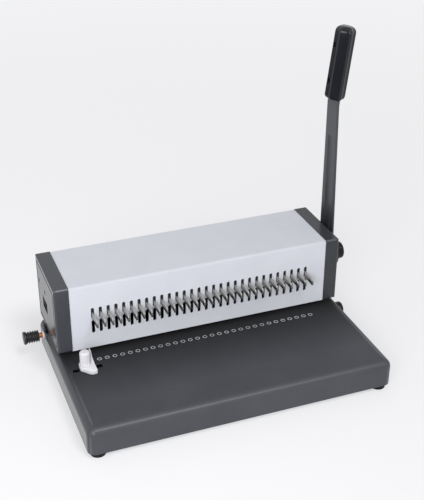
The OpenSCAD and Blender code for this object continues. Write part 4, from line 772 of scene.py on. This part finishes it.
# Edge guide: a white moulding that slides in the table's slot. Its block has a chamfered nose and a sloping fin
# behind the stop face; the fluted post turns to clamp it against the nut under the table.

white_plastic = skinned("white_plastic", (0.62, 0.62, 0.65), (0.68, 0.68, 0.71), rough=0.38, grain=2400.0,
                        bump=0.08, rub=0.0, rub_tint=(0.52, 0.52, 0.54), speck=0.08, gloss=0.3)


def slab(outline, low, high, edge):
    """Upright block: the outline [x, y] from low to high, both its edges rounded by quarter circles."""
    laid = stamped(outline, low, high, edge)
    return laid[..., [1, 2, 0]]


guide_low, guide_high, _ = span("edge_guide")
guide_x = span("guide_nut")[2][0]
block_low, block_high, block_back = table_z + 0.1, table_z + 6.0, 0.0
nose_x, nose_y = guide_low[0] + 10.5, -11.5
block = rounded([(guide_low[0], block_back), (guide_low[0], nose_y), (nose_x, guide_low[1]),
                 (guide_high[0], guide_low[1]), (guide_high[0], block_back)], [5.0, 2.2, 2.4, 2.0, 1.6],
                steps=7)
tongue_x, tongue_y = 6.0, 2.8
tongue = rounded([(guide_x - tongue_x, slot_y - tongue_y), (guide_x + tongue_x, slot_y - tongue_y),
                  (guide_x + tongue_x, slot_y + tongue_y), (guide_x - tongue_x, slot_y + tongue_y)], [0.6] * 4)
fin_in, fin_out, fin_low, fin_top = guide_x + 6.6, guide_high[0] - 0.1, block_high - 1.5, guide_high[2]
fin = rounded([(fin_low, fin_in), (fin_low, fin_out), (block_high + 0.6, fin_out),
               (block_high + 6.5, guide_high[0] - 1.7), (fin_top, fin_in + 1.0), (fin_top, fin_in)],
              [0.2, 0.2, 0.5, 2.4, 0.4, 0.3])
fin_skin = stamped(fin, slot_y + 0.4, slot_y + 6.9, edge=0.4)[..., [2, 0, 1]]
piece("edge_guide_moulded",
      [closed(slab(block, block_low, block_high, edge=1.0)),
       closed(slab(tongue, guide_low[2], block_low + 0.5, edge=0.2)), closed(fin_skin)],
      white_plastic, "side_guide", ["edge_guide"])


def fluted_post():
    """Turned post with ten flutes above a collar: the radius less a cosine hollow that fades in above the
    collar and out at the rounded shoulder."""
    low, high, shoulder, flutes, flute_deep = block_high + 0.2, post_high[2], 2.4, 10, 0.7
    collar_r = post_high[0] - guide_x
    shank_r = collar_r - 0.2
    crown = np.linspace(0.0, np.pi / 2, 7)[1:]
    shank = np.linspace(low + 4.0, high - shoulder - 0.1, 9)
    up = np.concatenate([low + np.array([0.0, 0.3, 2.2, 2.6, 3.2]), shank,
                         high - shoulder * (1 - np.sin(crown))])
    radius = np.concatenate([collar_r - np.array([0.3, 0.0, 0.0, 0.1, 0.2]), np.full(len(shank), shank_r),
                             shank_r - shoulder * (1 - np.cos(crown))])
    angle = np.linspace(0.0, 2 * np.pi, 120, endpoint=False)
    fade = np.clip((up - low - 2.4) / 1.5, 0.0, 1.0) * np.clip((high - 0.4 - up) / 2.0, 0.0, 1.0)
    hollow = flute_deep * np.clip(np.cos(flutes * angle), 0.0, 1.0) ** 0.7
    r = radius[:, None] - fade[:, None] * hollow[None]
    return np.stack([guide_x + r * np.cos(angle), slot_y + r * np.sin(angle),
                     np.broadcast_to(up[:, None], r.shape)], -1)


post_low, post_high, _ = span("guide_knob")
stem_bore, stem_r, stem_foot_r, stem_foot_top = 0.4, 2.0, 4.6, post_low[2] + 1.6
stem_top = block_high + 0.6
stem_profile = rounded([(stem_bore, post_low[2]), (stem_foot_r, post_low[2]), (stem_foot_r, stem_foot_top),
                        (stem_r, stem_foot_top), (stem_r, stem_top), (stem_bore, stem_top)],
                       [0.1, 0.3, 0.3, 0.2, 0.1, 0.1], steps=3)
piece("guide_post_fluted", [closed(fluted_post()),
                            closed(turned(stem_profile, "z", (guide_x, slot_y, 0.0), count=32), "hoop")],
      white_plastic, "guide_clamp", ["guide_knob"])
dress(steel, "guide_nut")


# Depth knob: a black moulding with ring ribs and a wider end, pressed on a copper-plated shaft that turns in a
# white bush in the base's ear. Inside, its pinions move the paper stop.

def ribbed_knob(low, high, rib_r, end_r):
    """Profile of the knob along X: a wider rounded end, rings whose radius follows a rounded wave along the
    axis, and the bore for the shaft."""
    rib_n, rib_deep, shaft_r, axis_r, bore_end = 5.0, 1.4, 2.55, 0.4, low + 3.6
    x = np.linspace(bore_end, high - 0.4, 96)
    wave = np.clip(0.4 + 0.9 * np.cos(2 * np.pi * rib_n * (x - x[0]) / (x[-1] - x[0])), 0.0, 1.0)
    ribs = np.stack([rib_r - rib_deep * (1 - wave), x], -1)
    steps = 6
    end = rounded([(axis_r, low), (end_r, low), (end_r, low + 3.0), (rib_r - rib_deep, low + 3.2)],
                  [0.05, 1.2, 0.5, 0.1], steps)
    back = np.array([(rib_r - 0.5, high - 0.1), (rib_r - 0.8, high), (shaft_r, high), (shaft_r, bore_end),
                     (axis_r, bore_end)])
    return np.concatenate([end[steps:], ribs, back, end[:steps]])


knob_low, knob_high, knob_mid = span("depth_knob")
knob_r = (knob_high[2] - knob_low[2]) / 2
knob_profile = ribbed_knob(knob_low[0], knob_high[0], knob_r - 0.7, knob_r)
knob_skin = closed(turned(knob_profile, "x", (0.0, knob_mid[1], knob_mid[2]), count=48), "hoop")
ribbed_plastic = skinned("ribbed_plastic", (0.012, 0.012, 0.013), (0.019, 0.019, 0.020), rough=0.36,
                         grain=3000.0, bump=0.14, rub=0.2, rub_tint=(0.06, 0.06, 0.06), edge=0.5, gloss=0.35)
piece("depth_knob_ribbed", [knob_skin], ribbed_plastic, "depth_dial", ["depth_knob"])
copper = metal("copper", (0.44, 0.15, 0.045), (0.62, 0.25, 0.085), rough=0.30)
dress(copper, "depth_shaft")
dress(white_plastic, "depth_bush")
dress(steel, "depth_pinions", "depth_stop", "depth_racks")
dress(zinc, "depth_brackets")


# Chip tray: a drawer of folded sheet with the base's dark coat, which slides on two zinc-plated rails. A black
# knob on its right-hand face pulls it out.

tray_paint = skinned("tray_paint", paint_dark, paint_light, rough=0.32, grain=2600.0, bump=0.16, rub=0.30,
                     rub_tint=paint_rub, gloss=0.28)
dress(tray_paint, "chip_tray")
dress(black_plastic, "tray_knob")
dress(zinc, "tray_runners")


# Studio: a wide pale floor that keeps the shadow near the object and runs into an even surround, a soft panel
# at the left front, a soft lamp high above the front that draws the highlights on rounded edges, the camera.

floor_mesh = bpy.data.meshes.new("floor")
floor_half = 12.0
floor_corners = [(x * floor_half, y * floor_half, 0.0) for x, y in ((-1, -1), (1, -1), (1, 1), (-1, 1))]
floor_mesh.from_pydata(floor_corners, [], [(0, 1, 2, 3)])
floor = bpy.data.objects.new("floor", floor_mesh)
bpy.context.scene.collection.objects.link(floor)


def seen_directly(tree):
    """1 for a ray from the camera, or one that a glossy or clear surface sends on, else 0."""
    path = add(tree, "LightPath")
    share = path.outputs["Is Camera Ray"]
    for word in ("Is Glossy Ray", "Is Transmission Ray"):
        either = add(tree, "Math", operation="MAXIMUM")
        tree.links.new(share, either.inputs[0])
        tree.links.new(path.outputs[word], either.inputs[1])
        share = either.outputs["Value"]
    return share


surround = (0.90, 0.90, 0.915, 1.0)
paper_white, tree, shader, place = blank_finish("paper_white")
mottle = add(tree, "TexNoise", [("Vector", place)], Scale=2.0, Detail=2.0)
tree.links.new(blend(tree, mottle.outputs["Fac"], (0.88, 0.88, 0.89), (0.91, 0.91, 0.92)),
               shader.inputs["Base Color"])
shader.inputs["Roughness"].default_value = 0.9
shader.inputs["Specular IOR Level"].default_value = 0.0
glow = add(tree, "Emission", Color=surround)
away = add(tree, "VectorMath", [("Vector", place)], operation="LENGTH")
even = add(tree, "MapRange", [("Value", away.outputs["Value"])], From_Min=0.5, From_Max=2.0, To_Min=0.5,
           To_Max=1.0)
share = add(tree, "Math", operation="MULTIPLY")
tree.links.new(even.outputs["Result"], share.inputs[0])
tree.links.new(seen_directly(tree), share.inputs[1])
both = add(tree, "MixShader", [("Fac", share.outputs["Value"])])
tree.links.new(shader.outputs["BSDF"], both.inputs[1])
tree.links.new(glow.outputs["Emission"], both.inputs[2])
tree.links.new(both.outputs["Shader"], tree.nodes["Material Output"].inputs["Surface"])
floor_mesh.materials.append(paper_white)

world = bpy.data.worlds.new("surround")
bpy.context.scene.world = world
world.use_nodes = True
tree = world.node_tree
tree.nodes.clear()
level = add(tree, "MapRange", [("Value", seen_directly(tree))], To_Min=0.55, To_Max=1.0)
sky = add(tree, "Background", [("Strength", level.outputs["Result"])], Color=surround)
tree.links.new(sky.outputs["Background"], add(tree, "OutputWorld").inputs["Surface"])


def lamp(name, kind, place, toward, energy, **settings):
    """Lamp at a place, shining along a direction, out of the camera's sight."""
    made = bpy.data.lights.new(name, kind)
    made.energy = energy
    for key, value in settings.items():
        setattr(made, key, value)
    back = -np.array(toward) / np.linalg.norm(toward)
    across = np.cross([0.0, 0.0, 1.0], back)
    across /= np.linalg.norm(across)
    turn = np.eye(4)
    turn[:3, :3] = np.stack([across, np.cross(back, across), back], -1)
    turn[:3, 3] = place
    holder = bpy.data.objects.new(name, made)
    holder.matrix_world = Matrix(turn.tolist())
    holder.visible_camera = False
    bpy.context.scene.collection.objects.link(holder)


lamp("front_lamp", "AREA", place=(-0.80, -1.18, 0.80), toward=(0.55, 1.18, -0.70), energy=6.0,
     shape="SQUARE", size=0.8, spread=math.radians(110.0))
lamp("top_lamp", "SUN", place=(0.0, 0.0, 1.0), toward=(-0.18, 0.55, -0.82), energy=1.15,
     angle=math.radians(17.0))

camera = bpy.data.cameras.new("camera")
camera.sensor_width = 36.0
camera.lens = 71.93
camera.clip_end = 30.0
camera_object = bpy.data.objects.new("camera", camera)
right = (0.93410364, -0.35698729, 0.00323499)
up_view = (0.17015901, 0.45317263, 0.8750317)
back_view = (-0.31384121, -0.81681983, 0.48405481)
view = np.eye(4)
view[:3, :3] = np.stack([right, up_view, back_view], -1)
view[:3, 3] = (-0.362046, -0.947401, 0.723746)
camera_object.matrix_world = Matrix(view.tolist())
bpy.context.scene.collection.objects.link(camera_object)
bpy.context.scene.camera = camera_object
bpy.context.scene.view_settings.view_transform = "Standard"
